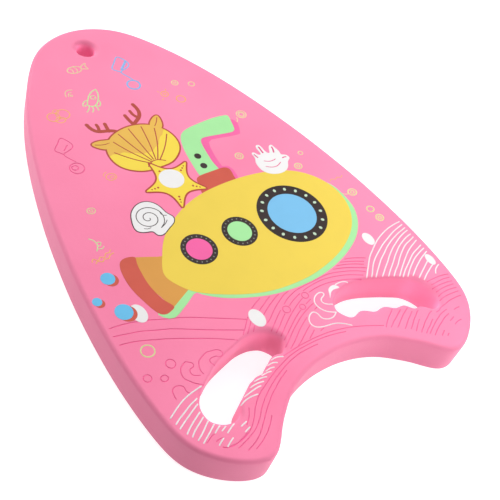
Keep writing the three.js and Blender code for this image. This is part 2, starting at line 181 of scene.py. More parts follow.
SLOT_LEFT = [
    (-28.2, 74.6), (-30.1, 78.8), (-33.7, 83.4), (-37.6, 85.5), (-42.2, 87), (-47.5, 87.7),
    (-52.5, 87.7), (-57.5, 87.2), (-62, 86.2), (-66.7, 85), (-71.3, 83.8), (-77.1, 82.2),
    (-83.1, 80.3), (-88.2, 78.3), (-92.6, 75.9), (-96.6, 73.4), (-101.2, 70.8), (-106, 67.6),
    (-110.6, 64), (-114.2, 60), (-116.3, 56.2), (-117.3, 52.3), (-117.4, 49), (-117, 45.7),
    (-115.3, 42.4), (-112.5, 39.5), (-109.2, 37.3), (-105.8, 36.2), (-102.4, 35.8), (-99.2, 35.9),
    (-96.4, 36.8), (-94.2, 38.6), (-92.5, 41.2), (-90.7, 43.9), (-88.9, 45.9), (-86.9, 47.2),
    (-84.7, 48.3), (-82.3, 49.6), (-79.5, 50.8), (-76.7, 52.6), (-73.8, 54.9), (-70.7, 55.8), (-67.8, 56.8), (-64.4, 57.3),
    (-60.9, 57.1), (-58.3, 57.8), (-55.7, 59.8), (-52.5, 61.5), (-49.4, 63.1), (-46.6, 64.7),
    (-43.2, 65.4), (-39.6, 64.9), (-36.2, 64.3), (-32.8, 65.6), (-30.2, 68.7), (-28.6, 71.8),
]
LEASH = (-0.6, 403.2, 8.3)

outline = spline(HALF + [(-x, y) for x, y in HALF[-2:0:-1]], 2.0, True)[0]
outline[:, 0] *= WIDTH / (outline[:, 0].max() - outline[:, 0].min())
outline[:, 1] = (outline[:, 1] - outline[:, 1].min()) * (LENGTH / np.ptp(outline[:, 1]))
outline = ccw(resample(outline, 2.0, True))
slot_r = ccw(resample(spline(SLOT, 1.0, True)[0], 1.1, True))
slot_l = ccw(resample(spline(SLOT_LEFT, 1.0, True)[0], 1.1, True))
leash = ccw(ellipse(*LEASH[:2], LEASH[2], n=56))
# Each contour with its unit normal pointing away from the foam.
contours = [(outline, normals(outline))] + [(h, -normals(h)) for h in (slot_r, slot_l, leash)]



def blend(v, a, b):
    """Smooth step of v from 0 at a to 1 at b."""
    t = np.clip((np.asarray(v, float) - a) / (b - a), 0.0, 1.0)
    return t * t * (3 - 2 * t)


def rim(P, k):
    """Rounding of the upper rim: EDGE_R, tighter on the nose side of the slots, wider at their ends."""
    x, y = P[:, 0], P[:, 1]
    r = np.full(len(P), EDGE_R)
    if k == 1:
        front = blend(y, 60, 72) * blend(x, 28, 40)
        end = blend(x, 101, 111) * blend(y, 41, 52)
        r += 2.6 * end - 1.0 * front * (1 - end)
    elif k == 2:
        inner = blend(x, -58, -42) * blend(y, 74, 82)
        front = blend(y, 62, 70) * blend(-x, 46, 62)
        r += 1.6 * inner - 1.7 * front
    elif k == 3:
        r += 1.0
    return r


def painted_light_amount(P, k):
    """How much paler colour is painted on each wall as painted light: none on the outer edge, about half in the slots,
    more at the outer end of the right slot, all in the leash hole.
    """
    x, y = P[:, 0], P[:, 1]
    if k == 0:
        return np.zeros(len(P))
    if k == 1:
        return 0.45 + 0.55 * blend(x, 92, 108) * (1 - blend(y, 68, 76))
    if k == 2:
        return np.full(len(P), 0.5)
    return np.ones(len(P))


rims = [rim(c, k) for k, (c, _) in enumerate(contours)]
_loops = [resample(c, 0.25, True) for c, _ in contours]
_dense = np.vstack(_loops)
_dense_rim = np.concatenate([rim(P, k) for k, P in enumerate(_loops)])
_kd = KDTree(len(_dense))
for _i, _p in enumerate(_dense):
    _kd.insert((_p[0], _p[1], 0.0), _i)
_kd.balance()


def inside(P, loop_pts):
    """Which points lie inside a closed loop."""
    P = np.asarray(P, float)
    a, b = loop_pts, np.roll(loop_pts, -1, axis=0)
    res = np.zeros(len(P), bool)
    for k in range(0, len(P), 4000):
        x, y = P[k:k + 4000, 0][:, None], P[k:k + 4000, 1][:, None]
        cross = (a[:, 1] > y) != (b[:, 1] > y)
        with np.errstate(divide="ignore", invalid="ignore"):
            xi = (b[:, 0] - a[:, 0]) * (y - a[:, 1]) / (b[:, 1] - a[:, 1]) + a[:, 0]
        res[k:k + 4000] = (np.sum(cross & (x < xi), axis=1) % 2) == 1
    return res


def on_foam(P):
    m = inside(P, outline)
    for h in (slot_r, slot_l, leash):
        m &= ~inside(P, h)
    return m


def to_rim(P):
    """Distance of each point to the nearest wall, and the rounding there."""
    hit = [_kd.find((p[0], p[1], 0.0)) for p in P]
    return np.array([h[2] for h in hit]), _dense_rim[[h[1] for h in hit]]


def surface(P):
    """Height of the top surface at each point, following the rounded edges."""
    P = np.asarray(P, float).reshape(-1, 2)
    d, r = to_rim(P)
    d = np.where(on_foam(P), d, 0.0)
    drop = np.where(d < r, r - np.sqrt(np.maximum(r**2 - (r - d) ** 2, 0)), 0.0)
    return TOP - drop


# ------------------------------------------------------------------- materials
def node(nt, kind, **values):
    n = nt.nodes.new(kind)
    for k, v in values.items():
        if k.startswith("in_"):
            key = k[3:]
            key = int(key) if key.isdigit() else key.replace("__", " ")
            n.inputs[key].default_value = v
        else:
            setattr(n, k, v)
    return n


def shader(name):
    m = bpy.data.materials.new(name)
    m.use_nodes = True
    nt = m.node_tree
    nt.nodes.clear()
    out = nt.nodes.new("ShaderNodeOutputMaterial")
    b = nt.nodes.new("ShaderNodeBsdfPrincipled")
    nt.links.new(b.outputs["BSDF"], out.inputs["Surface"])
    return m, nt, b


def srgb(r, g, b):
    return tuple(((c / 255) / 12.92 if c <= 10 else ((c / 255 + 0.055) / 1.055) ** 2.4) for c in (r, g, b)) + (1.0,)


def mix_colour(nt, fac, a, b, blend="MIX"):
    n = nt.nodes.new("ShaderNodeMix")
    n.data_type = "RGBA"
    n.blend_type = blend
    for sock, val in ((n.inputs[0], fac), (n.inputs[6], a), (n.inputs[7], b)):
        if hasattr(val, "type") and hasattr(val, "is_linked"):
            nt.links.new(val, sock)
        else:
            sock.default_value = val
    return n.outputs[2]


def ramp(nt, fac, stops):
    n = nt.nodes.new("ShaderNodeValToRGB")
    e = n.color_ramp.elements
    e[0].position, e[0].color = stops[0]
    e[1].position, e[1].color = stops[-1]
    for p, c in stops[1:-1]:
        k = e.new(p)
        k.color = c
    nt.links.new(fac, n.inputs[0])
    return n.outputs[0]


def math_node(nt, op, a, b=None, clamp=False):
    n = nt.nodes.new("ShaderNodeMath")
    n.operation = op
    n.use_clamp = clamp
    for i, v in enumerate((a, b)):
        if v is None:
            continue
        if hasattr(v, "is_linked"):
            nt.links.new(v, n.inputs[i])
        else:
            n.inputs[i].default_value = v
    return n.outputs[0]


def noise(nt, vec, scale, detail=3.0, rough=0.5):
    n = nt.nodes.new("ShaderNodeTexNoise")
    n.inputs["Scale"].default_value = scale
    n.inputs["Detail"].default_value = detail
    n.inputs["Roughness"].default_value = rough
    nt.links.new(vec, n.inputs["Vector"])
    return n.outputs["Fac"]


FOAM_PINK = (0.735, 0.181, 0.314, 1.0)
FOAM_LIGHT = (0.750, 0.198, 0.335, 1.0)
FOAM_DEEP = (0.712, 0.163, 0.291, 1.0)
FOAM_LINE = (0.700, 0.073, 0.232, 1.0)
# Painted light: paler pink put on the walls of the slots and the leash hole.
FOAM_PAINTED_LIGHT = (0.930, 0.290, 0.490, 1.0)


_inks = {}


def foam_material():
    if "foam" in _inks:
        return _inks["foam"]
    m, nt, b = shader("eva_foam_pink")
    _inks["foam"] = m
    co = node(nt, "ShaderNodeTexCoord").outputs["Object"]
    broad = noise(nt, co, 11.0, 2.0)
    cloud = noise(nt, co, 90.0, 4.0, 0.6)
    base = ramp(nt, broad, [(0.3, FOAM_DEEP), (0.5, FOAM_PINK), (0.7, FOAM_LIGHT)])
    base = mix_colour(nt, ramp(nt, cloud, [(0.35, (0, 0, 0, 1)), (0.75, (0.35, 0.35, 0.35, 1))]), base, FOAM_LIGHT)
    # Cell walls cut open on the edges show as tiny darker pores.
    geo = node(nt, "ShaderNodeNewGeometry")
    sep = nt.nodes.new("ShaderNodeSeparateXYZ")
    nt.links.new(geo.outputs["Normal"], sep.inputs[0])
    flat = math_node(nt, "ABSOLUTE", sep.outputs["Z"])
    side = math_node(nt, "SUBTRACT", 1.0, flat, clamp=True)
    vor = nt.nodes.new("ShaderNodeTexVoronoi")
    vor.inputs["Scale"].default_value = 1150.0
    nt.links.new(co, vor.inputs["Vector"])
    pore = ramp(nt, vor.outputs["Distance"], [(0.0, (1, 1, 1, 1)), (0.34, (0, 0, 0, 1))])
    pore_side = math_node(nt, "MULTIPLY", pore, math_node(nt, "MULTIPLY", side, 0.30))
    base = mix_colour(nt, pore_side, base, FOAM_LINE)
    # Painted light: the walls of the slots and the leash hole get a paler colour that stands in for light reaching into
    # them.
    painted_light = node(nt, "ShaderNodeAttribute", attribute_name="painted_light").outputs["Fac"]
    base = mix_colour(nt, painted_light, base, FOAM_PAINTED_LIGHT)
    line = node(nt, "ShaderNodeAttribute", attribute_name="line").outputs["Fac"]
    base = mix_colour(nt, math_node(nt, "MULTIPLY", line, 0.90, clamp=True), base, FOAM_LINE)
    nt.links.new(base, b.inputs["Base Color"])
    rough = ramp(nt, cloud, [(0.3, (0.62, 0.62, 0.62, 1)), (0.7, (0.78, 0.78, 0.78, 1))])
    nt.links.new(rough, b.inputs["Roughness"])
    b.inputs["Specular IOR Level"].default_value = 0.32
    b.inputs["Sheen Weight"].default_value = 0.10
    b.inputs["Sheen Roughness"].default_value = 0.6
    # Fine skin grain, a little orange peel, and the pores on the cut edges.
    grain = noise(nt, co, 1500.0, 3.0, 0.6)
    peel = noise(nt, co, 330.0, 2.0, 0.5)
    h = math_node(nt, "ADD", math_node(nt, "MULTIPLY", grain, 0.55), math_node(nt, "MULTIPLY", peel, 0.8))
    h = math_node(nt, "SUBTRACT", h, math_node(nt, "MULTIPLY", pore, math_node(nt, "ADD", math_node(nt, "MULTIPLY", side, 0.9), 0.12)))
    bump = node(nt, "ShaderNodeBump", in_Strength=0.55, in_Distance=0.00012)
    nt.links.new(h, bump.inputs["Height"])
    nt.links.new(bump.outputs[0], b.inputs["Normal"])
    return m


STUDIO = 0.69   # ink colours are named as they look under the studio light


def ink(key, rgb, rough=0.46, vary=0.05, thin=0.0):
    """Printed film: its colour with a slight unevenness, satin, foam grain showing through."""
    if key in _inks:
        return _inks[key]
    m, nt, b = shader("ink_" + key)
    co = node(nt, "ShaderNodeTexCoord").outputs["Object"]
    c = np.array(srgb(*rgb)) * STUDIO
    dark = tuple(np.r_[c[:3] * (1 - vary), 1])
    light = tuple(np.r_[np.minimum(c[:3] * (1 + vary * 0.7), 0.98), 1])
    cloud = noise(nt, co, 45.0, 3.0, 0.6)
    base = ramp(nt, cloud, [(0.3, dark), (0.5, tuple(c)), (0.72, light)])
    if thin:
        # A light pass of ink lets the foam show through in a fine speckle.
        speck = noise(nt, co, 900.0, 2.0, 0.6)
        base = mix_colour(nt, ramp(nt, speck, [(0.42, (0, 0, 0, 1)), (0.62, (thin, thin, thin, 1))]), base, FOAM_PINK)
    nt.links.new(base, b.inputs["Base Color"])
    r = ramp(nt, cloud, [(0.3, (rough - 0.05,) * 3 + (1,)), (0.7, (rough + 0.07,) * 3 + (1,))])
    nt.links.new(r, b.inputs["Roughness"])
    b.inputs["Specular IOR Level"].default_value = 0.35
    grain = noise(nt, co, 1400.0, 3.0, 0.6)
    peel = noise(nt, co, 330.0, 2.0, 0.5)
    h = math_node(nt, "ADD", math_node(nt, "MULTIPLY", grain, 0.35), math_node(nt, "MULTIPLY", peel, 0.8))
    bump = node(nt, "ShaderNodeBump", in_Strength=0.32, in_Distance=0.0001)
    nt.links.new(h, bump.inputs["Height"])
    nt.links.new(bump.outputs[0], b.inputs["Normal"])
    _inks[key] = m
    return m


# ----------------------------------------------------------------- mesh makers
def new_object(name, verts_mm, faces, material, flat=None, replaces=(), slot=None, weld=2e-6):
    me = bpy.data.meshes.new(name)
    me.from_pydata([tuple(v) for v in place(verts_mm)], [], [tuple(f) for f in faces])
    me.validate(verbose=False)
    if flat is not None and len(flat) == len(me.polygons):
        me.polygons.foreach_set("use_smooth", [not f for f in flat])
    me.materials.append(material)
    ob = bpy.data.objects.new(name, me)
    bpy.context.scene.collection.objects.link(ob)
    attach(ob, BODY)
    if replaces:
        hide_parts(*replaces)
    return ob


def film(name, outlines, top, material, base=None, edge=0.10, step_up=0.0, **kw):
    """Thin slabs with a soft edge. Each outline is a loop, or (loop, [holes])."""
    V, F, flat = [], [], []
    base = TOP - 0.12 if base is None else base
    for k, item in enumerate(outlines):
        outer, holes = item if isinstance(item, tuple) else (item, [])
        top += step_up if k else 0.0
        base -= step_up if k else 0.0
        rings = [ccw(outer)] + [ccw(h)[::-1] for h in holes]
        start = len(V)
        upper_start, lower_start = [], []
        for R in rings:
            T = np.roll(R, -1, axis=0) - np.roll(R, 1, axis=0)
            T /= np.maximum(np.linalg.norm(T, axis=1), 1e-9)[:, None]
            N = np.c_[T[:, 1], -T[:, 0]]
            rows = [
                np.c_[R, np.full(len(R), base)],
                np.c_[R, np.full(len(R), top - edge * 0.55)],
                np.c_[R - N * edge * 0.35, np.full(len(R), top - edge * 0.16)],
                np.c_[R - N * edge, np.full(len(R), top)],
            ]
            n, s = len(R), len(V)
            for row in rows:
                V.extend(row.tolist())
            for r in range(len(rows) - 1):
                for i in range(n):
                    j = (i + 1) % n
                    F.append((s + r * n + i, s + r * n + j, s + (r + 1) * n + j, s + (r + 1) * n + i))
                    flat.append(False)
            lower_start.append(s)
            upper_start.append(s + (len(rows) - 1) * n)
        polys = [[Vector((p[0], p[1], 0)) for p in (np.array(V)[u:u + len(R), :2])] for u, R in zip(upper_start, rings)]
        up_ids = [u + i for u, R in zip(upper_start, rings) for i in range(len(R))]
        lo_ids = [l + i for l, R in zip(lower_start, rings) for i in range(len(R))]
        tris = geometry.tessellate_polygon(polys)
        arr = np.array(V)
        for a, b, c in tris:
            A, B, C = arr[up_ids[a]], arr[up_ids[b]], arr[up_ids[c]]
            if (B[0] - A[0]) * (C[1] - A[1]) - (B[1] - A[1]) * (C[0] - A[0]) < 0:
                b, c = c, b
            F.append((up_ids[a], up_ids[b], up_ids[c]))
            flat.append(True)
            F.append((lo_ids[a], lo_ids[c], lo_ids[b]))
            flat.append(True)
        del start
    return new_object(name, V, F, material, flat, **kw)


def strokes(name, lines, material, lift=0.10, step=0.9, lay=None, lay_limit=0.42, **kw):
    """Pen lines with round ends and a low rounded crown, following the surface.

    Each line is (points, width) or (points, width, closed)."""
    V, F = [], []
    prof = np.array([[-1, -0.5], [-0.93, 0.35], [-0.6, 0.86], [0, 1.0], [0.6, 0.86], [0.93, 0.35], [1, -0.5]])
    for pts, width, closed in [(ln[0], ln[1], len(ln) > 2 and ln[2]) for ln in lines]:
        c = resample(spline(pts, step, closed)[0], step, closed)
        if lay is None and not closed:
            # The film is pressed on the flat face only, so a line stops where the edge falls away.
            drop = TOP - surface(c)
            ok = np.where(drop < lay_limit)[0]
            if len(ok) < 3:
                continue
            c = c[ok[0]:ok[-1] + 1]
        n = len(c)
        if closed:
            T = np.roll(c, -1, axis=0) - np.roll(c, 1, axis=0)
        else:
            T = np.gradient(c, axis=0)
        T /= np.maximum(np.linalg.norm(T, axis=1), 1e-9)[:, None]
        N = np.c_[-T[:, 1], T[:, 0]]
        w = np.full(n, width / 2.0)
        if not closed:
            # Round ends: extra stations close to each tip.
            r = width / 2.0
            k = np.array([1.0, 0.86, 0.5])
            head = c[0] - np.outer(k * r, T[0])
            tail = c[-1] + np.outer(k[::-1] * r, T[-1])
            c = np.vstack([head, c, tail])
            N = np.vstack([np.repeat(N[:1], 3, 0), N, np.repeat(N[-1:], 3, 0)])
            ends = r * np.sqrt(np.maximum(1 - k**2, 0.0)) + 0.02
            w = np.r_[ends, w, ends[::-1]]
            n = len(c)
        m = len(prof)
        rows = c[:, None, :] + N[:, None, :] * (prof[None, :, 0] * w[:, None])[:, :, None]
        z0 = surface(rows.reshape(-1, 2)).reshape(n, m) if lay is None else np.full((n, m), lay)
        crown = lift * np.minimum(1.0, w / (width / 2.0) * 1.2)
        z = z0 + prof[None, :, 1] * crown[:, None]
        s = len(V)
        V.extend(np.dstack([rows, z]).reshape(-1, 3).tolist())
        span = n if closed else n - 1
        for i in range(span):
            a, b = s + i * m, s + ((i + 1) % n) * m
            for j in range(m):
                k2 = (j + 1) % m
                F.append((a + j, b + j, b + k2, a + k2))
        if not closed:
            F.append(tuple(s + j for j in range(m)))
            F.append(tuple(s + (n - 1) * m + j for j in reversed(range(m))))
    ob = new_object(name, V, F, material, [False] * len(F), **kw)
    return ob


# --------------------------------------------------------------- pressed lines
W_LINE = 1.1    # width of a pressed line
D_LINE = 0.32   # its depth
LINES = [
    # long swell lines under the tail of the submarine
    [(-140, 123), (-130, 121), (-120, 117.5), (-110, 113.5), (-100, 109), (-90, 104), (-80, 99), (-70, 93.3), (-61, 88)],
    [(-140, 131), (-130, 128.6), (-120, 126), (-110, 122), (-100, 118.2), (-90, 113), (-80, 107.5), (-70, 102.2), (-60, 97), (-51, 92.4)],
    [(-139, 138), (-130, 137), (-120, 134.8), (-108, 131), (-100, 127.6), (-90, 124), (-80, 119.5), (-70, 114), (-60, 108.6), (-50, 103), (-44, 99.6)],
    # lines between the left slot and the submarine
    [(-54, 90), (-50, 93.6), (-45, 98), (-42, 100.6)],
    [(-50, 89.4), (-46, 93), (-42, 96.6)],
    [(-44.6, 89.2), (-41.6, 92.2)],
    [(-34, 106), (-30, 107.6), (-26, 109.3), (-23, 110.4)],
    [(-30, 101.6), (-26, 103.4), (-22, 105.2), (-18, 107), (-15, 108.2)],
    [(-30, 96.6), (-26, 98.8), (-22, 100.8), (-18, 102.6), (-14, 104.4), (-10, 106), (-7, 106.8)],
    [(-31, 89.8), (-26, 92.4), (-22, 95.1), (-18, 97.4), (-14, 99.7), (-10, 101.6), (-6, 103.6), (-2, 105), (2, 105.8)],
    # long arcs that pass under the hull and fall away to the right slot
    [(-34, 81.6), (-26, 87.2), (-18, 92.4), (-10, 96.9), (-2, 100.8), (6, 103.2), (14, 104.3), (26, 104.6), (38, 104.9),
     (46, 104.3), (54, 102.1), (62, 99.4), (70, 95.6), (74.5, 92.6)],
    [(-31, 79.2), (-26, 82.1), (-18, 87.5), (-10, 92.2), (-2, 96.3), (6, 99), (14, 100.9), (22, 102), (32, 102.5),
     (40, 101.8), (48, 100.1), (56, 97.7), (63, 94.7), (70, 90.9)],
    [(-31, 74), (-26, 77.4), (-18, 82.5), (-10, 87.2), (-2, 91.2), (6, 94.6), (14, 96.9), (22, 98.2), (32, 98.5),
     (40, 97.5), (48, 95.6), (56, 93.1), (62, 90.6), (66.4, 88.7)],
    [(-33, 69.6), (-26, 73.2), (-18, 77.9), (-10, 82.5), (-2, 86.4), (4, 88.8), (10, 90.7), (13.6, 91.8)],
    [(-32, 66), (-26, 69.6), (-18, 74.7), (-10, 79.1), (-2, 82.9), (6, 85.8), (13, 87.7)],
    [(-29, 63.4), (-22, 67.1), (-14, 72.3), (-6, 76.8), (0, 79.6)],
    [(10.8, 82.8), (14.6, 83.8)],
    [(-22, 62.9), (-18, 64.5), (-10, 69), (-2, 73.1)],
    [(-10, 63.6), (-6, 65.7), (-2, 68)],
    [(2.4, 65), (6, 65.9)],
    [(50.4, 106.6), (58, 104.4), (66, 101.3), (72, 98.4), (78, 95.2)],
    [(55.6, 108), (62, 106.3), (70, 103.3), (78, 99.3)],
    [(61, 109.6), (66, 107.8), (74, 104.6), (80, 101.6)],
    [(66.6, 110.4), (72, 109), (78, 106.6), (84, 103.6)],
    # lines between the slots and along the notch
    [(-37.6, 61), (-30, 61.6), (-22, 62.1), (-14, 62.3), (-6, 62.2), (2, 61.7), (10, 60.7), (18, 59), (26, 56.8), (35, 53.5), (44, 49.5), (52, 45.4)],
    [(-117, 21.2), (-110, 20.8), (-103, 22), (-97, 24.3), (-92, 27.8), (-87, 32.5), (-83, 36.8), (-78, 41), (-73, 44.2),
     (-66, 47.5), (-58, 51), (-50, 54), (-42, 56.5), (-34, 58.5), (-26, 59.6), (-16, 60), (-6, 59.8), (4, 58.8), (12, 57.4), (20, 55.4)],
    [(-112, 17.4), (-104, 19.3), (-97, 21.5), (-90, 25), (-84, 29.8), (-79, 34.3), (-72, 39.5), (-65, 43.7), (-58, 47.2),
     (-48, 51.3), (-40, 54), (-30, 56.3), (-20, 57.1), (-8, 56.8)],
    [(-107, 12.8), (-100, 15), (-93, 18.5), (-87, 23), (-81, 28), (-74, 33.5), (-66, 39), (-58, 43.5), (-50, 47.4), (-44, 49.8)],
    [(-101.4, 11), (-94, 13.6), (-87, 17.4), (-81, 21.8), (-76.6, 26)],
    [(-96.4, 29), (-91, 33.6), (-87.4, 38.6)],
    # curls beside the left slot
    [(-100.2, 76.1), (-100.5, 78.1), (-100.3, 80.3), (-99.5, 82.6), (-98.1, 85.1), (-96.1, 86.9), (-94.2,
     87.8), (-91.7, 88.8), (-88.8, 89.7), (-86.6, 89.7), (-84.3, 89.2), (-81.9, 88.8), (-79.7, 88.0),
     (-78.1, 86.5), (-77.5, 84.8), (-78.0, 83.2), (-79.7, 82.4), (-81.7, 82.7), (-83.6, 83.8), (-86.0,
     84.3), (-88.3, 84.2), (-89.9, 83.2), (-90.2, 81.5), (-89.3, 79.6), (-88.2, 78.1)],
    [(-105.2, 69.0), (-107.2, 70.4), (-109.2, 71.9), (-110.9, 73.8), (-112.5, 75.9), (-114.0, 78.0),
     (-114.7, 80.0), (-114.5, 82.2), (-113.9, 84.6), (-112.4, 87.0), (-110.7, 88.4), (-108.3, 89.5),
     (-106.4, 90.3), (-105.0, 89.8), (-103.4, 88.3), (-102.3, 86.8), (-102.5, 85.1), (-104.2, 84.0),
     (-106.1, 83.9), (-107.4, 82.6), (-108.0, 80.8), (-107.7, 79.1), (-105.7, 77.5), (-102.8, 76.1)],
    [(-128.8, 68.7), (-128.5, 71.6), (-127.8, 74.4), (-126.6, 75.9), (-124.4, 77.0), (-122.4, 76.9),
     (-120.4, 76.0), (-118.9, 74.5), (-118.7, 72.7), (-119.1, 70.6), (-118.3, 68.6), (-117.3, 67.7)],
    # short strokes below the left slot
    [(-129.0, 31.1), (-126.5, 32.2), (-124.0, 33.4), (-121.1, 33.9)],
    [(-122.7, 28.8), (-120.7, 29.2), (-118.6, 29.2), (-116.9, 28.6)],
    [(-121.3, 23.2), (-119.6, 22.0), (-117.7, 21.1)],
    [(-116.6, 20.9), (-112.2, 20.5), (-108.2, 21.3), (-103.9, 22.3), (-100.3, 23.7)],
    # short strokes below the right slot
    [(70.0, 54.3), (67.4, 52.7), (64.4, 51.0), (61.3, 49.4), (58.5, 47.6), (55.5, 45.5), (53.2, 43.5)],
    [(76.2, 50.8), (72.6, 49.1), (68.8, 47.3), (65.5, 45.7), (62.6, 44.5), (59.7, 42.8), (57.0, 41.4)],
    [(82.9, 49.3), (79.8, 48.2), (77.0, 46.9), (73.7, 45.4), (70.1, 43.4), (67.6, 42.1), (64.8, 40.3),
     (61.9, 38.9)],
    [(83.5, 44.8), (79.4, 42.5), (75.8, 40.6), (72.8, 38.9), (70.2, 37.1), (66.8, 35.1)],
    [(89.3, 43.3), (85.6, 41.6), (82.8, 39.8), (79.7, 38.2), (76.5, 36.0), (73.8, 34.2), (71.2, 32.6)],
    [(83.7, 36.1), (81.4, 34.7), (78.4, 32.5), (75.7, 30.7), (73.7, 29.1)],
    [(99.3, 37.3), (96.5, 36.8), (93.1, 35.2), (90.1, 33.8), (87.1, 32.4), (84.6, 30.9), (81.9, 29.2),
     (79.0, 27.6), (76.9, 26.1)],
    [(94.5, 31.0), (91.5, 29.6), (88.1, 27.6), (85.2, 26.4), (82.2, 24.8), (80.2, 23.7)],
    [(112.5, 32.7), (108.3, 32.3), (104.2, 31.4), (99.7, 29.8), (96.3, 28.5), (92.7, 26.9), (88.9, 25.1),
     (85.3, 23.4), (82.6, 22.0)],
    [(111.2, 28.7), (108.1, 28.1), (104.1, 27.1), (100.5, 25.7), (96.3, 24.1), (92.3, 22.4), (89.1, 20.8),
     (85.7, 18.9)],
    [(95.8, 18.5), (93.2, 17.1), (90.9, 15.9)],
    [(97.4, 14.7), (95.0, 13.5)],
    [(112.8, 24.4), (110.2, 23.6), (107.6, 23.1)],
    [(117.2, 19.7), (114.5, 19.8), (111.6, 19.4), (109.1, 18.7)],
    [(124.7, 29.5), (121.6, 29.8), (119.0, 29.6)],
    # strokes on the outer side of the right slot
    [(117.9, 61.3), (122.0, 61.1), (128.2, 60.8), (133.5, 60.3), (138.1, 59.3), (140.6, 58.7)],
    [(119.4, 57.2), (121.9, 56.9), (125.7, 57.0), (129.5, 56.9), (132.9, 56.8), (136.3, 56.2), (138.9,
     55.7)],
    [(117.0, 54.2), (120.4, 53.9), (123.9, 53.7), (126.9, 53.7), (131.4, 53.2), (135.2, 52.7), (138.2,
     51.9)],
    [(116.1, 50.2), (119.6, 50.0), (124.0, 50.1), (128.2, 50.0), (131.1, 49.9), (134.3, 49.3), (137.1,
     49.0)],
    [(114.5, 45.6), (117.4, 46.0), (120.4, 46.5), (125.4, 46.6), (129.0, 46.5), (132.8, 46.0), (137.1,
     45.3)],
    [(113.4, 41.5), (115.6, 42.3), (119.8, 42.8), (124.0, 42.8), (128.1, 42.6), (132.1, 42.2), (135.9,
     41.7)],
    [(102.8, 34.8), (106.4, 35.1), (109.1, 36.2), (112.7, 36.9), (116.7, 37.3), (120.4, 37.9), (124.9,
     38.1), (129.7, 38.0), (134.7, 37.5)],
    # a note drawn as a pressed line, on the left of the nose
    [(-84, 297), (-86.4, 300.4), (-88.4, 303.6), (-83, 309), (-77.5, 314), (-74.6, 311), (-72.2, 304.6), (-73.4, 301.6), (-79, 299), (-84, 297), (-80.6, 289), (-77, 282.4)],
    [(-81.6, 300.8), (-76.2, 305.2)],
]
RINGS = [
    (-116.4, 93.8, 3.6, 3.6), (-137.4, 91.4, 3.0, 2.9), (-126.8, 85.9, 2.9, 2.5),
    (-9.9, 92.8, 3.2, 3.1), (3.3, 89.0, 2.5, 2.4), (12.1, 96.7, 2.9, 2.8),
    (-81.8, 280, 6.0, 5.6), (-83, 281, 2.7, 2.4),
]


def line_tails():
    """The last millimetres of the pressed lines, where they run out over the rim of a slot."""
    tails = []
    for pts in LINES:
        c = resample(spline(pts, 0.4)[0], 0.5)
        d, r = to_rim(c)
        near = np.minimum(*[np.array([np.hypot(*(h - p).T).min() for p in c]) for h in (slot_r, slot_l)])
        drop = TOP - surface(c)
        ok = on_foam(c) & (d < r + W_LINE * 0.5 + 0.9) & (near < 8.0) & (drop < 1.6)
        run = []
        for p, good in zip(np.vstack([c, c[-1:]]), np.r_[ok, False]):
            if good:
                run.append(tuple(p))
                continue
            if len(run) >= 4:
                tails.append((run, W_LINE * 0.8))
            run = []
    return tails


def pressed_lines():
    """Centre lines of every pressed line, kept clear of the rounded edges."""
    out = []
    for pts in LINES:
        out.append((resample(spline(pts, 0.8)[0], 1.2), False))
    for x, y, rx, ry in RINGS:
        out.append((resample(ellipse(x, y, rx, ry), 1.1, True), True))
    kept = []
    for c, closed in out:
        d, r = to_rim(c)
        ok = on_foam(c) & (d > r + W_LINE * 0.5 + 0.15)
        if not closed:
            # The long lines break off where a small ring sits on them.
            for x, y, rx, ry in RINGS:
                ok &= np.hypot((c[:, 0] - x) / (rx + 1.3), (c[:, 1] - y) / (ry + 1.3)) > 1.0
        if closed:
            if ok.all():
                kept.append((c, True))
            continue
        run = []
        for p, good in zip(c, ok):
            if good:
                run.append(p)
            else:
                if len(run) >= 3:
                    kept.append((np.array(run), False))
                run = []
        if len(run) >= 3:
            kept.append((np.array(run), False))
    return kept


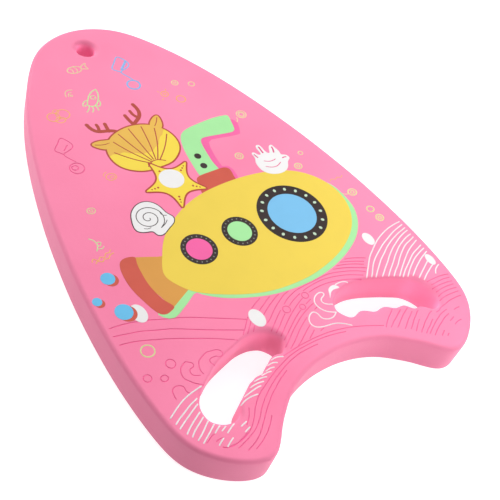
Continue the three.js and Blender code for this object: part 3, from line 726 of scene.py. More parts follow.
def board():
    seg = 7
    V, F, flat, line = [], [], [], []

    def put(rows):
        ids = []
        for P, zs in rows:
            ids.append(len(V))
            for p, z in zip(P, np.broadcast_to(zs, len(P))):
                V.append((p[0], p[1], z))
        return ids

    cap_loops = []
    painted_light = []
    for k, ((c, N), R) in enumerate(zip(contours, rims)):
        rows = []
        for j in range(seg + 1):
            a = math.pi / 2 * j / seg
            rows.append((c - N * R[:, None] * (1 - math.sin(a)), TOP - R * (1 - math.cos(a))))
        for t in (0.25, 0.5, 0.75):
            rows.append((c, (TOP - R) * (1 - t) + (BOTTOM + EDGE_R) * t))
        for j in range(seg, -1, -1):
            a = math.pi / 2 * j / seg
            rows.append((c - N * EDGE_R * (1 - math.sin(a)), BOTTOM + EDGE_R * (1 - math.cos(a))))
        ids = put(rows)
        n = len(c)
        outward = c is outline
        # Painted light on the hole walls, fading in from the rounded rim.
        for r in range(len(rows)):
            depth = min(r, len(rows) - 1 - r) / seg
            painted_light.extend(float(blend(depth, 0.25, 1.0)) * painted_light_amount(c, k))
        for r in range(len(rows) - 1):
            for i in range(n):
                j = (i + 1) % n
                q = (ids[r] + i, ids[r + 1] + i, ids[r + 1] + j, ids[r] + j)
                F.append(q if outward else q[::-1])
                flat.append(False)
        cap_loops.append((rows[0][0], rows[-1][0], ids[0], ids[-1]))

    # Underside: one flat face, cut by the holes.
    polys = [[Vector((p[0], p[1], 0)) for p in lp[1]] for lp in cap_loops]
    ids = [lp[3] + i for lp in cap_loops for i in range(len(lp[1]))]
    arr = np.array(V)
    for a, b, c in geometry.tessellate_polygon(polys):
        A, B, C = arr[ids[a]], arr[ids[b]], arr[ids[c]]
        if (B[0] - A[0]) * (C[1] - A[1]) - (B[1] - A[1]) * (C[0] - A[0]) > 0:
            b, c = c, b
        F.append((ids[a], ids[b], ids[c]))
        flat.append(True)

    # Top face: triangles that follow every pressed line.
    pts, edges = [], []
    for lp in cap_loops:
        s, n = len(pts), len(lp[0])
        pts.extend(lp[0].tolist())
        edges.extend((s + i, s + (i + 1) % n) for i in range(n))
    centres = []
    half = W_LINE / 2
    for c, closed in pressed_lines():
        T = (np.roll(c, -1, axis=0) - np.roll(c, 1, axis=0)) if closed else np.gradient(c, axis=0)
        T /= np.maximum(np.linalg.norm(T, axis=1), 1e-9)[:, None]
        N = np.c_[-T[:, 1], T[:, 0]]
        centres.append(resample(c, 0.15, closed))
        for k in (1.0, 0.3):
            r = half * k
            if closed:
                for sgn in (-1, 1):
                    s, n = len(pts), len(c)
                    pts.extend((c + N * r * sgn).tolist())
                    edges.extend((s + i, s + (i + 1) % n) for i in range(n))
                continue
            a = np.linspace(-math.pi / 2, math.pi / 2, 7)[1:-1]
            ring = np.vstack([
                c - N * r,
                c[-1] + r * (np.outer(np.cos(a), T[-1]) + np.outer(np.sin(a), N[-1])),
                (c + N * r)[::-1],
                c[0] + r * (np.outer(-np.cos(a), T[0]) + np.outer(-np.sin(a), N[0])),
            ])
            s, n = len(pts), len(ring)
            pts.extend(ring.tolist())
            edges.extend((s + i, s + (i + 1) % n) for i in range(n))
    res = geometry.delaunay_2d_cdt([Vector(p) for p in pts], edges, [], 0, 1e-4, False)
    P = np.array([(v.x, v.y) for v in res[0]])
    tris = np.array([f for f in res[2] if len(f) == 3], int)
    mid = P[tris].mean(axis=1)
    keep = inside(mid, cap_loops[0][0])
    for lp in cap_loops[1:]:
        keep &= ~inside(mid, lp[0])
    tris = tris[keep]
    C = np.vstack(centres)
    kd = KDTree(len(C))
    for i, p in enumerate(C):
        kd.insert((p[0], p[1], 0.0), i)
    kd.balance()
    d = np.array([kd.find((p[0], p[1], 0.0))[2] for p in P])
    f = np.clip((half - d) / (half * 0.7), 0, 1)
    f = f * f * (3 - 2 * f)
    s = len(V)
    line = np.r_[np.zeros(s), f]
    painted_light = np.r_[painted_light, np.zeros(len(P))]
    V.extend(np.c_[P, TOP - D_LINE * f].tolist())
    for a, b, c in tris:
        A, B, Cc = P[a], P[b], P[c]
        if (B[0] - A[0]) * (Cc[1] - A[1]) - (B[1] - A[1]) * (Cc[0] - A[0]) < 0:
            b, c = c, b
        F.append((s + a, s + b, s + c))
        flat.append(True)

    me = bpy.data.meshes.new("foam_board_skin")
    me.from_pydata([tuple(v) for v in place(V)], [], [tuple(int(i) for i in q) for q in F])
    me.polygons.foreach_set("use_smooth", [not x for x in flat])
    at = me.attributes.new("line", "FLOAT", "POINT")
    at.data.foreach_set("value", line.astype(np.float32))
    # The painted light on the hole walls, stored per vertex.
    at = me.attributes.new("painted_light", "FLOAT", "POINT")
    at.data.foreach_set("value", painted_light.astype(np.float32))
    import bmesh  # noqa: PLC0415

    bm = bmesh.new()
    bm.from_mesh(me)
    bmesh.ops.remove_doubles(bm, verts=bm.verts, dist=3e-6)
    loose = [v for v in bm.verts if not v.link_faces]
    bmesh.ops.delete(bm, geom=loose, context="VERTS")
    open_edges = sum(1 for e in bm.edges if not e.is_manifold)
    bm.to_mesh(me)
    bm.free()
    print("board:", len(me.vertices), "vertices", len(me.polygons), "faces", open_edges, "open edges")
    me.materials.append(foam_material())
    ob = bpy.data.objects.new("foam_board_skin", me)
    bpy.context.scene.collection.objects.link(ob)
    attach(ob, BODY)
    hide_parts("foam_board")
    return ob


board()

tails = strokes("pressed_line_ends", line_tails(), foam_material(), lift=0.04, step=0.5, lay_limit=1.7, slot="foam")
_at = tails.data.attributes.new("line", "FLOAT", "POINT")
_at.data.foreach_set("value", np.full(len(tails.data.vertices), 0.85, np.float32))

# ------------------------------------------------------------------ ink colours
YELLOW = ink("yellow", (248, 217, 84), vary=0.02)
YELLOW_WARM = ink("yellow_warm", (255, 226, 78), vary=0.02)
MINT = ink("mint", (174, 241, 168), vary=0.03)
BLUE = ink("blue", (127, 198, 242), vary=0.03)
SKY = ink("sky", (112, 201, 246), vary=0.03)
MAGENTA = ink("magenta", (252, 104, 172))
SHADE_PINK = ink("shade_pink", (254, 109, 173), vary=0.03)
DARK = ink("dark", (62, 50, 50), rough=0.42)
RED = ink("red", (217, 95, 78))
OCHRE = ink("ochre", (229, 163, 78), vary=0.03)
BROWN = ink("brown", (188, 78, 62))
TAN = ink("tan", (242, 192, 85), vary=0.03)
WHITE = ink("white", (248, 246, 246), vary=0.02)
GREY = ink("grey", (66, 54, 54))
PALE = ink("pale_green", (222, 236, 160), thin=0.16)
LIME = ink("lime", (196, 244, 166), thin=0.06)
ORANGE = ink("orange", (255, 186, 104), thin=0.14)
LILAC = ink("lilac_blue", (132, 188, 242), thin=0.10)
RIVET = ink("rivet", (206, 232, 204))
RIVET_SMALL = ink("rivet_small", (142, 146, 138))
ROSE = ink("rose", (236, 92, 146))

L1 = TOP + 0.07   # first ink layer
L2 = TOP + 0.11
L3 = TOP + 0.15
L4 = TOP + 0.19

# ------------------------------------------------------------------- submarine
HULL = loop([
    (-77, 160.5), (-73.6, 149.5), (-66, 139), (-50, 128), (-30, 118.5), (-10, 112.3), (10, 109.9),
    (30, 110), (50, 113.2), (70, 119.2), (90, 130.2), (103, 143.5), (109.6, 158), (110.6, 171),
    (106.5, 186), (95, 201), (80, 210.2), (60, 216), (40, 218.6), (20, 219), (0, 217.4),
    (-20, 212.6), (-40, 203.2), (-58, 190), (-70, 174.5)])
HULL_SHADE = loop([
    (-64, 141), (-63, 135.6), (-50, 124.6), (-30, 115), (-10, 108.8), (10, 106), (30, 105.6),
    (50, 108.2), (70, 113.8), (90, 123.4), (104, 136), (111.6, 150), (113, 163), (111.4, 176),
    (108, 183), (103, 186), (60, 190), (0, 180), (-50, 160)])
TAIL_INNER = np.array([
    (-88.2, 184.4), (-80, 181.1), (-72, 177.5), (-66, 176), (-60, 160), (-62, 145), (-66, 142.4),
    (-75, 138.4), (-86.6, 133.2), (-89.6, 140.5), (-92, 150), (-94, 160), (-93, 170), (-91, 179.5)], float)
TAIL_OUTER = loop([
    (-95.5, 186.9), (-91.5, 186.3), (-88.2, 184.4), (-89.6, 179.5), (-91.6, 170), (-92.6, 160),
    (-92, 150), (-89.6, 140.5), (-86.6, 133.2), (-90.2, 131.2), (-94.4, 130.2), (-98.4, 131.4),
    (-101, 135), (-104, 146), (-106.3, 160), (-105.8, 172), (-103.6, 181), (-100, 185.8)])
TAIL_SHADE = np.array([
    (-101.2, 132.6), (-99, 128.8), (-95.6, 126), (-91.6, 124.9), (-87.4, 126), (-76, 131.4),
    (-66.6, 136.4), (-63.6, 136.4), (-62, 141), (-66, 146), (-80, 142), (-98, 138)], float)
PERISCOPE = loop([
    (8.2, 232), (8.6, 246), (10.2, 256), (12.2, 265), (15, 273), (18.6, 279), (24, 282.8), (33, 285),
    (46, 286.2), (58, 286.8), (68.6, 286), (73, 284.4), (72.6, 280), (70.4, 272.6), (68.2, 267.4),
    (65, 266), (57, 266.8), (47, 268.4), (38.6, 269.6), (33.4, 269), (30.6, 264.6), (29, 257.6),
    (27.6, 248.6), (26.9, 240), (26.4, 232), (20, 231.4), (12, 231.2)])
SNORKEL_BASE = loop([
    (-1.6, 216), (0.6, 226), (2.4, 231.6), (6, 233.8), (14, 234.4), (26, 234.3), (32.6, 233.6),
    (35.6, 231), (35.6, 226.6), (34.4, 221), (33.2, 217), (24, 216.6), (10, 216)])
SNORKEL_SHADE = np.array([
    (12, 232), (13, 262), (20, 274), (40, 278), (60, 280), (73, 279.5), (75.2, 277.5), (76.4, 273.6),
    (73.8, 267), (70.4, 261.6), (68, 261.4), (60, 262.2), (50, 264), (41.6, 265.2), (37.6, 263.4),
    (35.2, 258), (33.4, 250), (32.2, 242), (31.8, 235.6), (36.8, 234), (38.6, 229), (37.6, 221),
    (36.4, 217.6), (34, 214), (30, 214), (20, 220)], float)
PORTS = {
    "large": (56.2, 168.2, 30.6, 21.3, BLUE, "ink_blue"),
    "middle": (2.8, 171.2, 15.0, 10.3, MINT, "ink_mint"),
    "end": (-38.1, 170.0, 15.0, 10.7, MAGENTA, "ink_magenta"),
}

film("hull_shade", [HULL_SHADE], L1, MINT, replaces=["print_hull_shade"], slot="ink_mint")
film("tail_shade", [TAIL_SHADE], L1, MINT, replaces=["print_tail_shade"], slot="ink_mint")
film("tail_inner", [TAIL_INNER], L2, OCHRE, replaces=["print_tail_inner"], slot="ink_ochre")
film("tail_outer", [TAIL_OUTER], L3, RED, replaces=["print_tail_outer"], slot="ink_red")
film("periscope_shade", [SNORKEL_SHADE], L1, SHADE_PINK, replaces=["print_periscope_shade"], slot="ink_magenta")
film("periscope", [PERISCOPE], L2, MINT, replaces=["print_periscope"], slot="ink_mint")
film("periscope_dot_upper", [ellipse(18.6, 253.4, 3.1)], L3, DARK, replaces=["print_periscope_dot_upper"], slot="ink_dark")
film("periscope_dot_lower", [ellipse(17.1, 242.2, 3.1)], L3, DARK, replaces=["print_periscope_dot_lower"], slot="ink_dark")
film("periscope_base", [SNORKEL_BASE], L2 + 0.01, RED, replaces=["print_periscope_base"], slot="ink_red")
film("hull", [HULL], L3, YELLOW, replaces=["print_hull_yellow"], slot="ink_yellow")
for key, (x, y, ro, ri, glass, slot_name) in PORTS.items():
    film("porthole_ring_" + key, [(ellipse(x, y, ro), [ellipse(x, y, ri - 0.2)])], L4, DARK,
         replaces=["print_porthole_ring_" + key], slot="ink_dark")
    film("porthole_glass_" + key, [ellipse(x, y, ri)], L4 - 0.02, glass,
         replaces=["print_porthole_glass_" + key], slot=slot_name)
    n, r, rd, mat = (17, 26.2, 1.45, RIVET) if key == "large" else (20, 12.65, 0.62, RIVET_SMALL)
    dots = []
    for i in range(n):
        t = 2 * math.pi * i / n + (1.53 if key == "large" else 0.2)
        dots.append(ellipse(x + r * math.cos(t), y + r * math.sin(t), rd * 1.12, rd * 0.92, t, n=14))
    film("porthole_rivets_" + key, dots, L4 + 0.05, mat, base=L4 - 0.03, edge=0.12)

# --------------------------------------------------------------------- bubbles
for i, (x, y, r, dx, dy) in enumerate([(-117.2, 176, 5.5, 1.7, -2.3), (-135, 161.5, 3.7, 1.2, -2.2), (-122.3, 145.6, 6.9, 1.9, -2.5)]):
    film(f"bubble_{i + 1}_shade", [ellipse(x + dx, y + dy, r)], L2, RED, replaces=[f"print_bubble_{i + 1}_shade"], slot="ink_red")
    film(f"bubble_{i + 1}", [ellipse(x, y, r)], L3, SKY, replaces=[f"print_bubble_{i + 1}"], slot="ink_blue")
film("dab_tail", [ellipse(-113.3, 139.8, 5.9, 8.3)], L1, WHITE, replaces=["print_dab_tail"], slot="ink_white")
film("dab_centre", [ellipse(-35.5, 97, 6, 8.2)], L1, WHITE, replaces=["print_dab_centre"], slot="ink_white")
film("dab_nose_side", [ellipse(100.4, 118.2, 4.7, 6.6)], L1 + 0.03, WHITE, replaces=["print_dab_nose_side"], slot="ink_white")
film("dab_outer", [ellipse(137.0, 77.4, 3.6, 5.9)], L1, WHITE, slot="ink_white")

# ------------------------------------------------------ sea life over the hull
SHELL = loop([
    (-18, 255.6), (-30, 256.2), (-40.5, 260.6), (-48.4, 268.6), (-50.8, 279), (-48.6, 289), (-42, 297),
    (-32, 302.4), (-19, 304.8), (-6, 303), (4.4, 297), (10.8, 288), (12.6, 277), (9, 267), (0.6, 259.6),
    (-7, 256.4)])
LEAF_L = loop([(-41, 291), (-48, 289), (-54, 292.4), (-57.4, 298), (-51, 299.6), (-44, 298.2), (-38, 296)])
LEAF_R = loop([(0.6, 299), (4, 303.8), (8, 306.6), (12.8, 307.4), (12.4, 300), (9.4, 294.4), (4.8, 292.4)])
coral = [
    ([(-28, 300), (-31, 304.4), (-38, 307.4), (-45, 309.6), (-48.4, 314), (-49.6, 319.4)], 3.4),
    ([(-36, 306.4), (-35.6, 310), (-34.8, 315)], 3.2),
    ([(-44, 309), (-42.4, 312.4), (-42, 316.6)], 2.8),
    ([(-16, 300), (-12, 305.4), (-5, 310), (-0.6, 314.6), (1, 320.6), (0.4, 326.6)], 3.4),
    ([(-12, 305), (-13, 311), (-13.4, 317.4)], 3.2),
    ([(-3.6, 311), (-6, 315.4), (-6.4, 320.6)], 2.8),
]


def pen_loop(points, width, step=0.8):
    """Outline of a round-ended pen line, as one loop."""
    c, T = spline(points, step)
    N = np.c_[-T[:, 1], T[:, 0]]
    r = width / 2.0
    out = [c - N * r]
    a = np.linspace(-math.pi / 2, math.pi / 2, 9)[1:-1]
    out.append(c[-1] + r * (np.outer(np.cos(a), T[-1]) + np.outer(np.sin(a), N[-1])))
    out.append((c + N * r)[::-1])
    out.append(c[0] + r * (np.outer(-np.cos(a), T[0]) + np.outer(-np.sin(a), N[0])))
    return np.vstack(out)


def fan_ribs(hinge, rim, xs, start=0.16, end=0.97):
    """Gently bowed ribs from the hinge of a scallop out to its rim."""
    out = []
    h = np.array(hinge, float)
    for p in xs:
        q = np.array(p, float)
        mid = h + (q - h) * 0.55 + np.array([(q[0] - h[0]) * 0.06, 0.0])
        a, b = h + (q - h) * start, h + (q - h) * end
        out.append([tuple(a), tuple(mid), tuple(b)])
    del rim
    return out


film("reef_outline", [grow(SHELL, 1.45), grow(LEAF_L, 1.35), grow(LEAF_R, 1.35)] + [pen_loop(p, w) for p, w in coral],
     L2 - 0.03, BROWN, step_up=0.006, replaces=["print_reef_outline"], slot="ink_brown")
film("leaf_left", [LEAF_L], L3, TAN, replaces=["print_leaf_left"], slot="ink_tan")
film("leaf_right", [LEAF_R], L3, TAN, replaces=["print_leaf_right"], slot="ink_tan")
film("scallop_body", [SHELL], L3 + 0.01, YELLOW_WARM, replaces=["print_scallop_body"], slot="ink_yellow")


def clip_above(P, lower):
    """The part of a loop that lies above a line of points given left to right."""
    lower = np.asarray(lower, float)
    P = resample(np.asarray(P, float), 0.5, True)
    yl = np.interp(P[:, 0], lower[:, 0], lower[:, 1])
    up = P[:, 1] >= yl
    n = len(P)
    s = next(i for i in range(n) if up[i] and not up[i - 1])
    run = []
    i = s
    while up[i % n] and len(run) < n:
        run.append(P[i % n])
        i += 1
    run = np.array(run)
    a, b = run[-1], run[0]
    inner = lower[(lower[:, 0] > min(a[0], b[0]) + 0.3) & (lower[:, 0] < max(a[0], b[0]) - 0.3)]
    if a[0] > b[0]:
        inner = inner[::-1]
    return np.vstack([run, inner])


rib_tops = [(-45.6, 284), (-40, 295), (-31, 301.6), (-19.4, 303.8), (-7.4, 302.2), (2.6, 296.2), (9, 286)]
band_low = []
_bx = np.linspace(-52, 14, 120)
_dip = np.interp(_bx, [-52, -46, -37, -30, -24, -18, -12, -5, 1, 8, 14], [281, 281.4, 280, 276.4, 273.4, 272.4, 273.8, 278, 284, 289.6, 290])
band_low = np.c_[_bx, _dip + 1.2 * np.abs(np.sin((_bx + 52) * math.pi / 9.4)) - 0.6]
film("scallop_band", [clip_above(grow(SHELL, -0.05), band_low)], L4, TAN, replaces=["print_scallop_band"], slot="ink_tan")
strokes("scallop_ribs", [(r, 1.05) for r in fan_ribs((-18.5, 257.5), None, rib_tops)]
        + [([(-27, 259.4), (-22.4, 262.6), (-18.6, 263.4), (-14.6, 262.6), (-10, 259.6)], 1.0)],
        BROWN, lift=0.07, lay=L4 - 0.02, slot="ink_brown")
strokes("leaf_ribs", [([(-55, 296.8), (-49, 294.6), (-43, 294.4)], 0.8), ([(11.4, 305.4), (7.6, 300.6), (4, 297.4)], 0.8)],
        BROWN, lift=0.06, lay=L3, slot="ink_brown")
STAR_C = (-17.0, 236.4)


def star(r_tip, r_in, n=5, turn=35.0):
    pts = []
    for i in range(2 * n):
        t = math.radians(turn + 180.0 / n * i)
        r = r_in if i % 2 else r_tip
        pts.append((STAR_C[0] + r * math.cos(t), STAR_C[1] + r * math.sin(t)))
    return loop(pts, 0.8)


STAR = star(26.5, 14.2)
film("starfish_outline", [grow(STAR, 1.4)], L3 + 0.02, BROWN, replaces=["print_starfish_outline"], slot="ink_brown")
film("starfish", [STAR], L4, YELLOW_WARM, replaces=["print_starfish"], slot="ink_yellow")
film("starfish_spot", [ellipse(-16.8, 240.6, 10.8, 10.2)], L4 + 0.05, WHITE, replaces=["print_starfish_spot"], slot="ink_white")
arm_dots = []
for i in range(5):
    t = math.radians(35.0 + 72.0 * i)
    for r, size in ((15.6, 1.0), (18.6, 0.85), (21.4, 0.7)):
        if i == 1 and r > 17:
            continue
        arm_dots.append(ellipse(STAR_C[0] + r * math.cos(t), STAR_C[1] + r * math.sin(t), size, n=12))
film("starfish_dots", arm_dots, L4 + 0.05, BROWN, base=L4 - 0.03, edge=0.06, slot="ink_brown")

SNAIL = loop([
    (-72.6, 205.4), (-71.6, 214), (-67.4, 222), (-61, 227), (-54, 228.6), (-47.4, 226.2), (-43, 219.6),
    (-41.4, 211.6), (-38.8, 205.6), (-41.4, 201), (-48.4, 197.4), (-55.4, 194.2), (-60, 195.6),
    (-61.4, 199.6), (-66, 201.4)])
film("snail_outline", [grow(SNAIL, 0.75)], L3 + 0.02, GREY, replaces=["print_snail_outline"], slot="ink_grey")
film("snail", [SNAIL], L4, WHITE, replaces=["print_snail"], slot="ink_white")
spiral = []
for k in range(46):
    t = math.radians(-70 + k * 17.0)
    r = 12.6 * (1 - k / 47.0) ** 0.85
    spiral.append((-57.4 + r * math.cos(t) * 1.04, 212.6 + r * math.sin(t)))
strokes("snail_spiral", [
    (spiral, 0.75),
    ([(-45, 205), (-48.6, 202.4), (-53.4, 200.4)], 0.65),
    ([(-42.6, 209.4), (-45.4, 210.8), (-46, 213.8)], 0.6),
    ([(-66.4, 205), (-63.6, 203.6), (-61, 203.8)], 0.6),
], GREY, lift=0.06, lay=L4, slot="ink_grey")

ANEMONE = loop([
    (61.4, 224), (62.4, 216.6), (67, 211.4), (74, 208.8), (81, 209), (87, 212.6), (91, 217.6),
    (94.6, 220.2), (93.6, 224.4), (90, 226.6), (90.4, 230), (89.6, 235.6), (88.6, 239.4),
    (85.6, 238.8), (82.6, 234.4), (80.8, 232), (79, 233.4), (78.4, 239.4), (77.2, 243.8),
    (74.4, 243.6), (73, 238.6), (72.4, 233.8), (70, 234.2), (67.6, 238), (65.2, 237.4),
    (64.8, 232.6), (63, 229)], 0.7)
film("anemone", [ANEMONE], L4, WHITE, replaces=["print_anemone"], slot="ink_white")
strokes("anemone_cores", [
    ([(75.4, 234.6), (75.7, 238), (75.9, 241.2)], 1.7),
    ([(85.2, 231.4), (86.6, 234.2), (87.3, 236.8)], 1.6),
    ([(67.4, 231.6), (66.9, 233.6), (66.5, 235.4)], 1.3),
    ([(88.6, 222.6), (90.6, 222.8), (92.2, 222.4)], 1.2),
    ([(68, 220), (72.4, 217.4), (78, 216.8), (83.4, 219)], 0.8),
    ([(70.4, 226), (75.6, 223.6), (81.4, 224)], 0.8),
], ROSE, lift=0.06, lay=L4)

# --------------------------------------------------------------- white stripes
RIGHT = [
    [(71, 87.3), (75, 91), (80, 95.5), (85, 100), (90, 104), (95, 107), (100, 110), (105, 112.7), (110, 115), (115, 116.8), (120, 118.3), (125, 119.5), (130, 120.2), (135, 120.7), (140, 120.8)],
    [(75.5, 86), (80, 90), (85, 94.8), (90, 98.5), (95, 101.5), (100, 104), (105, 106.5), (110, 108.7), (115, 110.5), (120, 112.3), (125, 114), (130, 115.4), (135, 116.4), (140, 117.3)],
    [(79, 84.3), (85, 89), (90, 92.5), (95, 96), (100, 98.8), (105, 101.5), (110, 104.3), (115, 106.5), (120, 108.5), (125, 110), (130, 111.5), (135, 112.5), (140, 113.5)],
    [(84.5, 82.3), (90, 86), (95, 89.3), (100, 92.5), (105, 96), (110, 99), (115, 101.8), (120, 104), (125, 106.2), (130, 108), (135, 109.4), (140, 110.3)],
    [(89.5, 80), (95, 84), (100, 87.2), (105, 90.5), (110, 94), (115, 97), (120, 99.8), (125, 102), (130, 103.8), (135, 105.2), (140, 106)],
    [(94, 78), (100, 82.3), (105, 85.2), (110, 88.8), (115, 92.3), (120, 95.3), (125, 98), (130, 99.8), (135, 101), (140, 102.5)],
    [(98.5, 75.8), (105, 80.5), (110, 83.8), (115, 87), (120, 90), (125, 92.8), (130, 95), (135, 96.8), (140, 98.5)],
    [(101, 74), (107, 78.2), (112, 81), (118, 84.2), (123, 87), (128, 89.3), (134, 91), (140, 92.8)],
    [(104.5, 72), (110, 76), (115, 79.2), (120, 82), (125, 84.5), (130, 86.3), (135, 87.8), (140, 89)],
    [(107.5, 69.5), (113, 73), (119, 76.5), (125, 79.5), (130, 81.8), (135, 83.6), (140, 85.3)],
    [(112, 66.3), (118, 69.5), (124, 72.5), (129, 75), (133, 77)],
    [(117, 64), (122, 66.8), (127, 69), (132, 71.2), (136, 72.5)],
]
for i, pts in enumerate(RIGHT):
    strokes(f"wave_right_{i + 1:02d}", [(pts, 1.05)], WHITE, lift=0.16, replaces=[f"print_wave_right_{i + 1:02d}"], slot="ink_white")
LEFT = [
    [(-140.4, 58.2), (-136, 60.5), (-130, 63.5), (-124, 65.8), (-117, 67.5), (-111, 68.3), (-107.4, 68.8)],
    [(-139.5, 52.6), (-135, 55), (-129, 57.5), (-123, 60), (-119, 61.2), (-115.6, 62.2)],
    [(-139, 48.5), (-134, 51), (-128, 53.8), (-122, 56.5), (-117.6, 58.4)],
    [(-137, 43), (-132, 46.3), (-127, 49), (-122, 51.5), (-118.2, 53.2)],
    [(-135, 39.5), (-130, 43), (-125, 45.6), (-121, 47.7), (-118.4, 49)],
    [(-133, 35.5), (-128, 38.2), (-123, 41.4), (-119, 44), (-117.2, 45)],
]
for i, pts in enumerate(LEFT):
    strokes(f"wave_left_{i + 1:02d}", [(pts, 1.05)], WHITE, lift=0.16, replaces=[f"print_wave_left_{i + 1:02d}"], slot="ink_white")
strokes("wave_left_short", [(p, 1.0) for p in [
    [(-131, 32), (-127, 34.2), (-122, 37), (-118, 39.4), (-115.6, 40.8)],
    [(-119.5, 34.5), (-115, 36.9), (-112, 38)],
    [(-114.5, 33.4), (-110.4, 35)],
    [(-112, 30.4), (-108, 32.2), (-103, 34.2), (-98, 35), (-96, 35)],
    [(-100.5, 29.8), (-98, 30.4), (-95.4, 31)],
    [(-100.5, 25), (-98, 25.8), (-95.8, 26.4)],
    [(-122.5, 25.5), (-120, 27), (-117, 28.4)],
    [(-118, 22), (-114.6, 23.8), (-111, 25.4)],
]], WHITE, lift=0.16, slot="ink_white")
strokes("wave_slot_left", [(p, 1.0) for p in [
    [(-91, 43.2), (-86, 44.6), (-80, 45), (-75, 44.4)],
    [(-84, 47.6), (-78, 48.3), (-72, 48.9), (-69, 48.8)],
    [(-76, 51.4), (-70, 51.6), (-65, 50.8)],
    [(-70.4, 54), (-65, 53.8), (-60.6, 52.8)],
    [(-62.6, 55.4), (-58, 55.4), (-54.8, 54.8)],
    [(-57.2, 57), (-53.4, 57.2), (-50.6, 56.6)],
    [(-53, 60.2), (-49, 60), (-46, 58.6)],
    [(-48, 62.6), (-43.4, 62.4), (-38.8, 60.7)],
]], WHITE, lift=0.16, lay_limit=2.0, slot="ink_white")
strokes("wave_right_short", [([(131, 64.3), (133.5, 67), (137, 69), (140, 70)], 1.05)], WHITE, lift=0.16, slot="ink_white")
strokes("curl_white", [
    ([(27.2, 80.2), (23.5, 82), (21, 85), (21.6, 87.8), (25, 89.5), (27.2, 91), (26.4, 93), (23, 93.6), (19, 92.3),
      (15.8, 89.5), (14.6, 85.5), (15.5, 81.5), (18, 77.5), (22, 74.5), (25, 73)], 0.95),
    ([(25, 73), (21, 70.8), (17, 70.4), (13, 71.8), (10.7, 74.5), (10.4, 78), (8.7, 81), (6, 81.3), (2.5, 79.5),
      (0, 76.5), (-0.6, 73), (0.8, 70), (4.5, 67.8), (10, 66.5), (16, 65.5), (20, 64), (24, 61.5), (28.5, 57.7)], 0.95),
    ([(42, 93.9), (47, 94), (51, 92.8), (53.5, 90.6)], 0.95),
], WHITE, lift=0.16, slot="ink_white")
film("dab_slot_right", [loop([(29.4, 85.6), (31.6, 89.4), (33.6, 92.8), (38, 94.5), (41.6, 93.4), (43.2, 90.4), (39.4, 90.6), (35, 90.2), (32, 88)], 0.7)],
     L1 + 0.03, WHITE, slot="ink_white")

# --------------------------------------------------------------------- doodles
def rings(*items, n=22):
    return [([tuple(p) for p in ellipse(x, y, rx, ry, n=n)], w, True) for x, y, rx, ry, w in items]


strokes("doodle_fish", [
    ([tuple(p) for p in ellipse(-24.6, 382, 6.8, 4.0, n=20)], 0.75, True),
    ([(-18.2, 383.2), (-14.6, 385.4), (-11.4, 386.4), (-13.2, 382.8), (-12.4, 379.2), (-15.4, 380), (-18.2, 381.4)], 0.75),
    ([(-27.6, 385), (-26.4, 382), (-27.4, 379)], 0.6), ([(-23.6, 385.4), (-22.4, 382.2), (-23.4, 378.8)], 0.6),
], PALE, lift=0.07)
strokes("doodle_note_blue", [
    ([(13, 365.6), (10, 368.6), (7.8, 372), (13, 378), (20, 384.2), (23, 381), (25.4, 372.8), (19, 368.2), (13, 365.6), (15.4, 359), (17.6, 353.4)], 1.3),
    ([(15.4, 368.8), (19.6, 372.4), (24, 376.4)], 2.3),
    ([tuple(p) for p in ellipse(14.8, 347.8, 5.8, 5.6, n=22)], 1.7, True),
], LILAC, lift=0.07)
strokes("doodle_arcs", [
    ([(-48.4, 355), (-46.8, 359.6), (-43, 361.4), (-39.8, 360.4)], 0.7),
    ([(-46.2, 354.4), (-44.8, 357.2), (-42, 357.8)], 0.7),
    ([tuple(p) for p in ellipse(-43.6, 354.6, 1.1, n=10)], 0.6, True),
], PALE, lift=0.07)
strokes("doodle_rocket", [
    ([(-20, 354.2), (-24.4, 353), (-29.4, 349.6), (-33.4, 344.8), (-36.2, 339.4), (-32.6, 336.8), (-28.4, 338.4), (-24.4, 342.8), (-21.2, 348.4), (-20, 354.2)], 1.05),
    ([(-33.4, 344.8), (-38, 343.8), (-40.6, 340), (-36.6, 340)], 0.95),
    ([(-24.6, 342.4), (-25.2, 337.6), (-28.8, 334.8), (-29.6, 338)], 0.95),
    ([(-35.6, 338.6), (-38.2, 335), (-41.4, 332.6)], 0.9), ([(-33.6, 337), (-34.6, 333.4), (-36.8, 331)], 0.9), ([(-31, 336.8), (-30.4, 333.6), (-31, 331)], 0.9),
    ([tuple(p) for p in ellipse(-27.4, 346.2, 2.2, n=14)], 0.8, True),
], LIME, lift=0.08)
strokes("doodle_bubbles_orange", rings((-70.4, 337.4, 5.4, 4.8, 0.95), (-61.6, 337.6, 5.8, 5.4, 0.95), (-66.4, 332.4, 4.2, 3.2, 0.85), (-65.6, 342.4, 2.6, 2.2, 0.75)), ORANGE, lift=0.07)
strokes("doodle_rings_green", rings((51.6, 337, 2.9, 2.9, 0.85), (65.4, 330.4, 2.9, 2.7, 0.85), (51.6, 337, 1.1, 1.1, 0.6)), PALE, lift=0.07)
strokes("doodle_rings_orange", rings((34.6, 328, 3.4, 3.2, 0.95), (45, 317.4, 4.2, 4.0, 1.05), (34.6, 328, 1.2, 1.2, 0.7)) + [
    ([(30.2, 323.4), (28.6, 322)], 0.7), ([(37.6, 331.6), (39, 333)], 0.7), ([(31, 331.6), (30, 333)], 0.7)], ORANGE, lift=0.07)
strokes("doodle_ring_left", rings((-61.4, 261.6, 4.4, 3.5, 0.8), (-60.4, 261, 1.9, 1.5, 0.65)) + [([(-66.6, 264.6), (-65.4, 266.6), (-62.6, 267.6)], 0.65)], ORANGE, lift=0.06)
strokes("doodle_ring_pale", rings((-94.6, 237.2, 3.4, 2.9, 0.75), (-94.8, 237.2, 1.5, 1.2, 0.6)) + rings((-125, 110, 5.1, 4.9, 1.05)), PALE, lift=0.07)
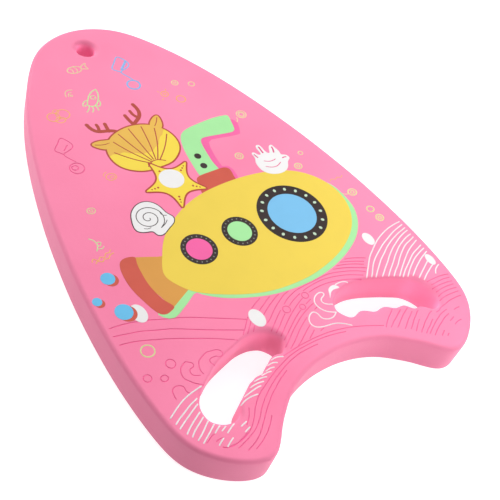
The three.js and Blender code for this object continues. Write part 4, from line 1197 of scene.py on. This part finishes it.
strokes("doodle_weed", [
    ([(-111, 201.6), (-108.6, 204.6), (-107.4, 208), (-108.4, 211.6), (-110.6, 214)], 0.8),
    ([(-108, 205.6), (-105.4, 205.4), (-104.2, 207.6), (-106.6, 208.4)], 0.7),
    ([(-109.4, 203), (-106, 201.8), (-104, 203.2)], 0.7),
], LIME, lift=0.07)
strokes("doodle_waves_orange", [
    ([(-119.6, 194), (-117.2, 196), (-114.6, 193.4), (-111.8, 195.6), (-109, 194), (-106.4, 196.8), (-103.6, 196.4), (-101.4, 198.4)], 0.9),
    ([(-117.6, 191.6), (-115, 193), (-112.4, 191), (-109.8, 192.8), (-107, 191.8), (-104.2, 194), (-100.6, 194.8)], 0.9),
    ([(112, 183.4), (115, 184.6), (118, 183), (121, 184.4), (124, 183), (127, 184.4)], 0.7),
], ORANGE, lift=0.07)
strokes("doodle_right", rings(
    (86, 281, 2.6, 2.6, 1.0), (86, 281, 4.6, 4.3, 0.85), (53, 239.6, 3.6, 3.3, 1.0), (53, 239.6, 1.5, 1.4, 0.8),
    (96, 209.2, 3.6, 3.0, 1.0), (96, 209.2, 1.6, 1.3, 0.8), (108, 221, 2.2, 2.0, 0.8), (122.6, 165, 4.2, 3.4, 1.2),
    (122.6, 165, 1.9, 1.5, 0.9), (125, 143, 3.4, 3.0, 1.15), (126.4, 132, 3.6, 3.2, 1.2), (126.4, 132, 1.6, 1.4, 0.9)) + [
    ([(113, 167), (115.6, 165.4), (118.4, 165)], 0.7), ([(76.4, 274.6), (78.6, 276.4), (79.2, 279)], 0.6)], PALE, lift=0.07)

# ------------------------------------------------------------- floor and light
def stage_floor():
    me = bpy.data.meshes.new("floor")
    s = 6.0
    z = lo.z - 0.0004
    me.from_pydata([(-s, -s, z), (s, -s, z), (s, s, z), (-s, s, z)], [], [(0, 1, 2, 3)])
    m, nt, b = shader("floor_pale")
    co = node(nt, "ShaderNodeTexCoord").outputs["Object"]
    f = noise(nt, co, 2.0, 2.0)
    nt.links.new(ramp(nt, f, [(0.2, (0.39, 0.39, 0.39, 1)), (0.8, (0.41, 0.41, 0.41, 1))]), b.inputs["Base Color"])
    b.inputs["Roughness"].default_value = 0.9
    b.inputs["Specular IOR Level"].default_value = 0.1
    # A softly glowing flat floor, as in a light tent.
    b.inputs["Emission Color"].default_value = (1.0, 1.0, 1.0, 1.0)
    b.inputs["Emission Strength"].default_value = 0.82
    me.materials.append(m)
    ob = bpy.data.objects.new("floor", me)
    bpy.context.scene.collection.objects.link(ob)


stage_floor()


def area_light(name, at, to, size, power, size_y=None, spread=180.0):
    d = bpy.data.lights.new(name, "AREA")
    d.shape = "RECTANGLE"
    d.size = size
    d.size_y = size_y or size
    d.energy = power
    d.spread = math.radians(spread)
    ob = bpy.data.objects.new(name, d)
    bpy.context.scene.collection.objects.link(ob)
    ob.location = at
    ob.rotation_euler = (Vector(to) - Vector(at)).to_track_quat("-Z", "Y").to_euler()
    return ob


area_light("nose", (0.0, 1.5, 1.1), (0.0, 0.1, 0.0), 1.2, 27.8)
area_light("nose_left", (-0.9, 1.1, 0.7), (0.0, 0.1, 0.0), 0.9, 9.6)
area_light("tail_fill", (0.05, -0.6, 0.35), (0.08, -0.17, 0.02), 0.25, 1.7)
area_light("tail_right", (0.5, -0.5, 0.3), (0.0, -0.12, 0.0), 0.3, 1.5)
area_light("tail_top", (0.2, -0.35, 1.2), (0.05, -0.12, 0.0), 0.5, 1.4)
area_light("right_top", (0.6, 0.15, 0.6), (0.1, 0.03, 0.0), 0.5, 4.2).visible_glossy = False
area_light("slot_kicker", (-0.45, -0.10, 0.32), (0.11, -0.158, 0.012), 0.06, 0.0018, spread=10.0)
area_light("slot_kicker_left", (-0.45, -0.24, 0.30), (-0.036, -0.144, 0.014), 0.04, 0.0006, spread=7.0)

scene = bpy.context.scene
world = bpy.data.worlds.new("studio")
world.use_nodes = True
wn = world.node_tree
bg = wn.nodes["Background"]
bg.inputs["Color"].default_value = (1.0, 1.0, 1.0, 1.0)
bg.inputs["Strength"].default_value = 0.12
scene.world = world
scene.view_settings.view_transform = "Standard"
scene.view_settings.look = "None"

# ---------------------------------------------------------------------- camera
cam = bpy.data.cameras.new("camera")
cam.sensor_width = 36.0
cam.lens = 965.808 / 500.0 * 36.0
cam.clip_start = 0.01
cam_ob = bpy.data.objects.new("camera", cam)
scene.collection.objects.link(cam_ob)
right = Vector((0.77178351, -0.58140829, 0.25751623))
up = Vector((0.32786005, 0.71083105, 0.62227567))
back = Vector((-0.54484677, -0.39583281, 0.73922834))
rot = Matrix((right, up, back)).transposed().to_4x4()
cam_ob.matrix_world = Matrix.Translation(((-413.76041 / 1000), (-147.88394 - 215.0) / 1000, 589.97409 / 1000)) @ rot
scene.camera = cam_ob
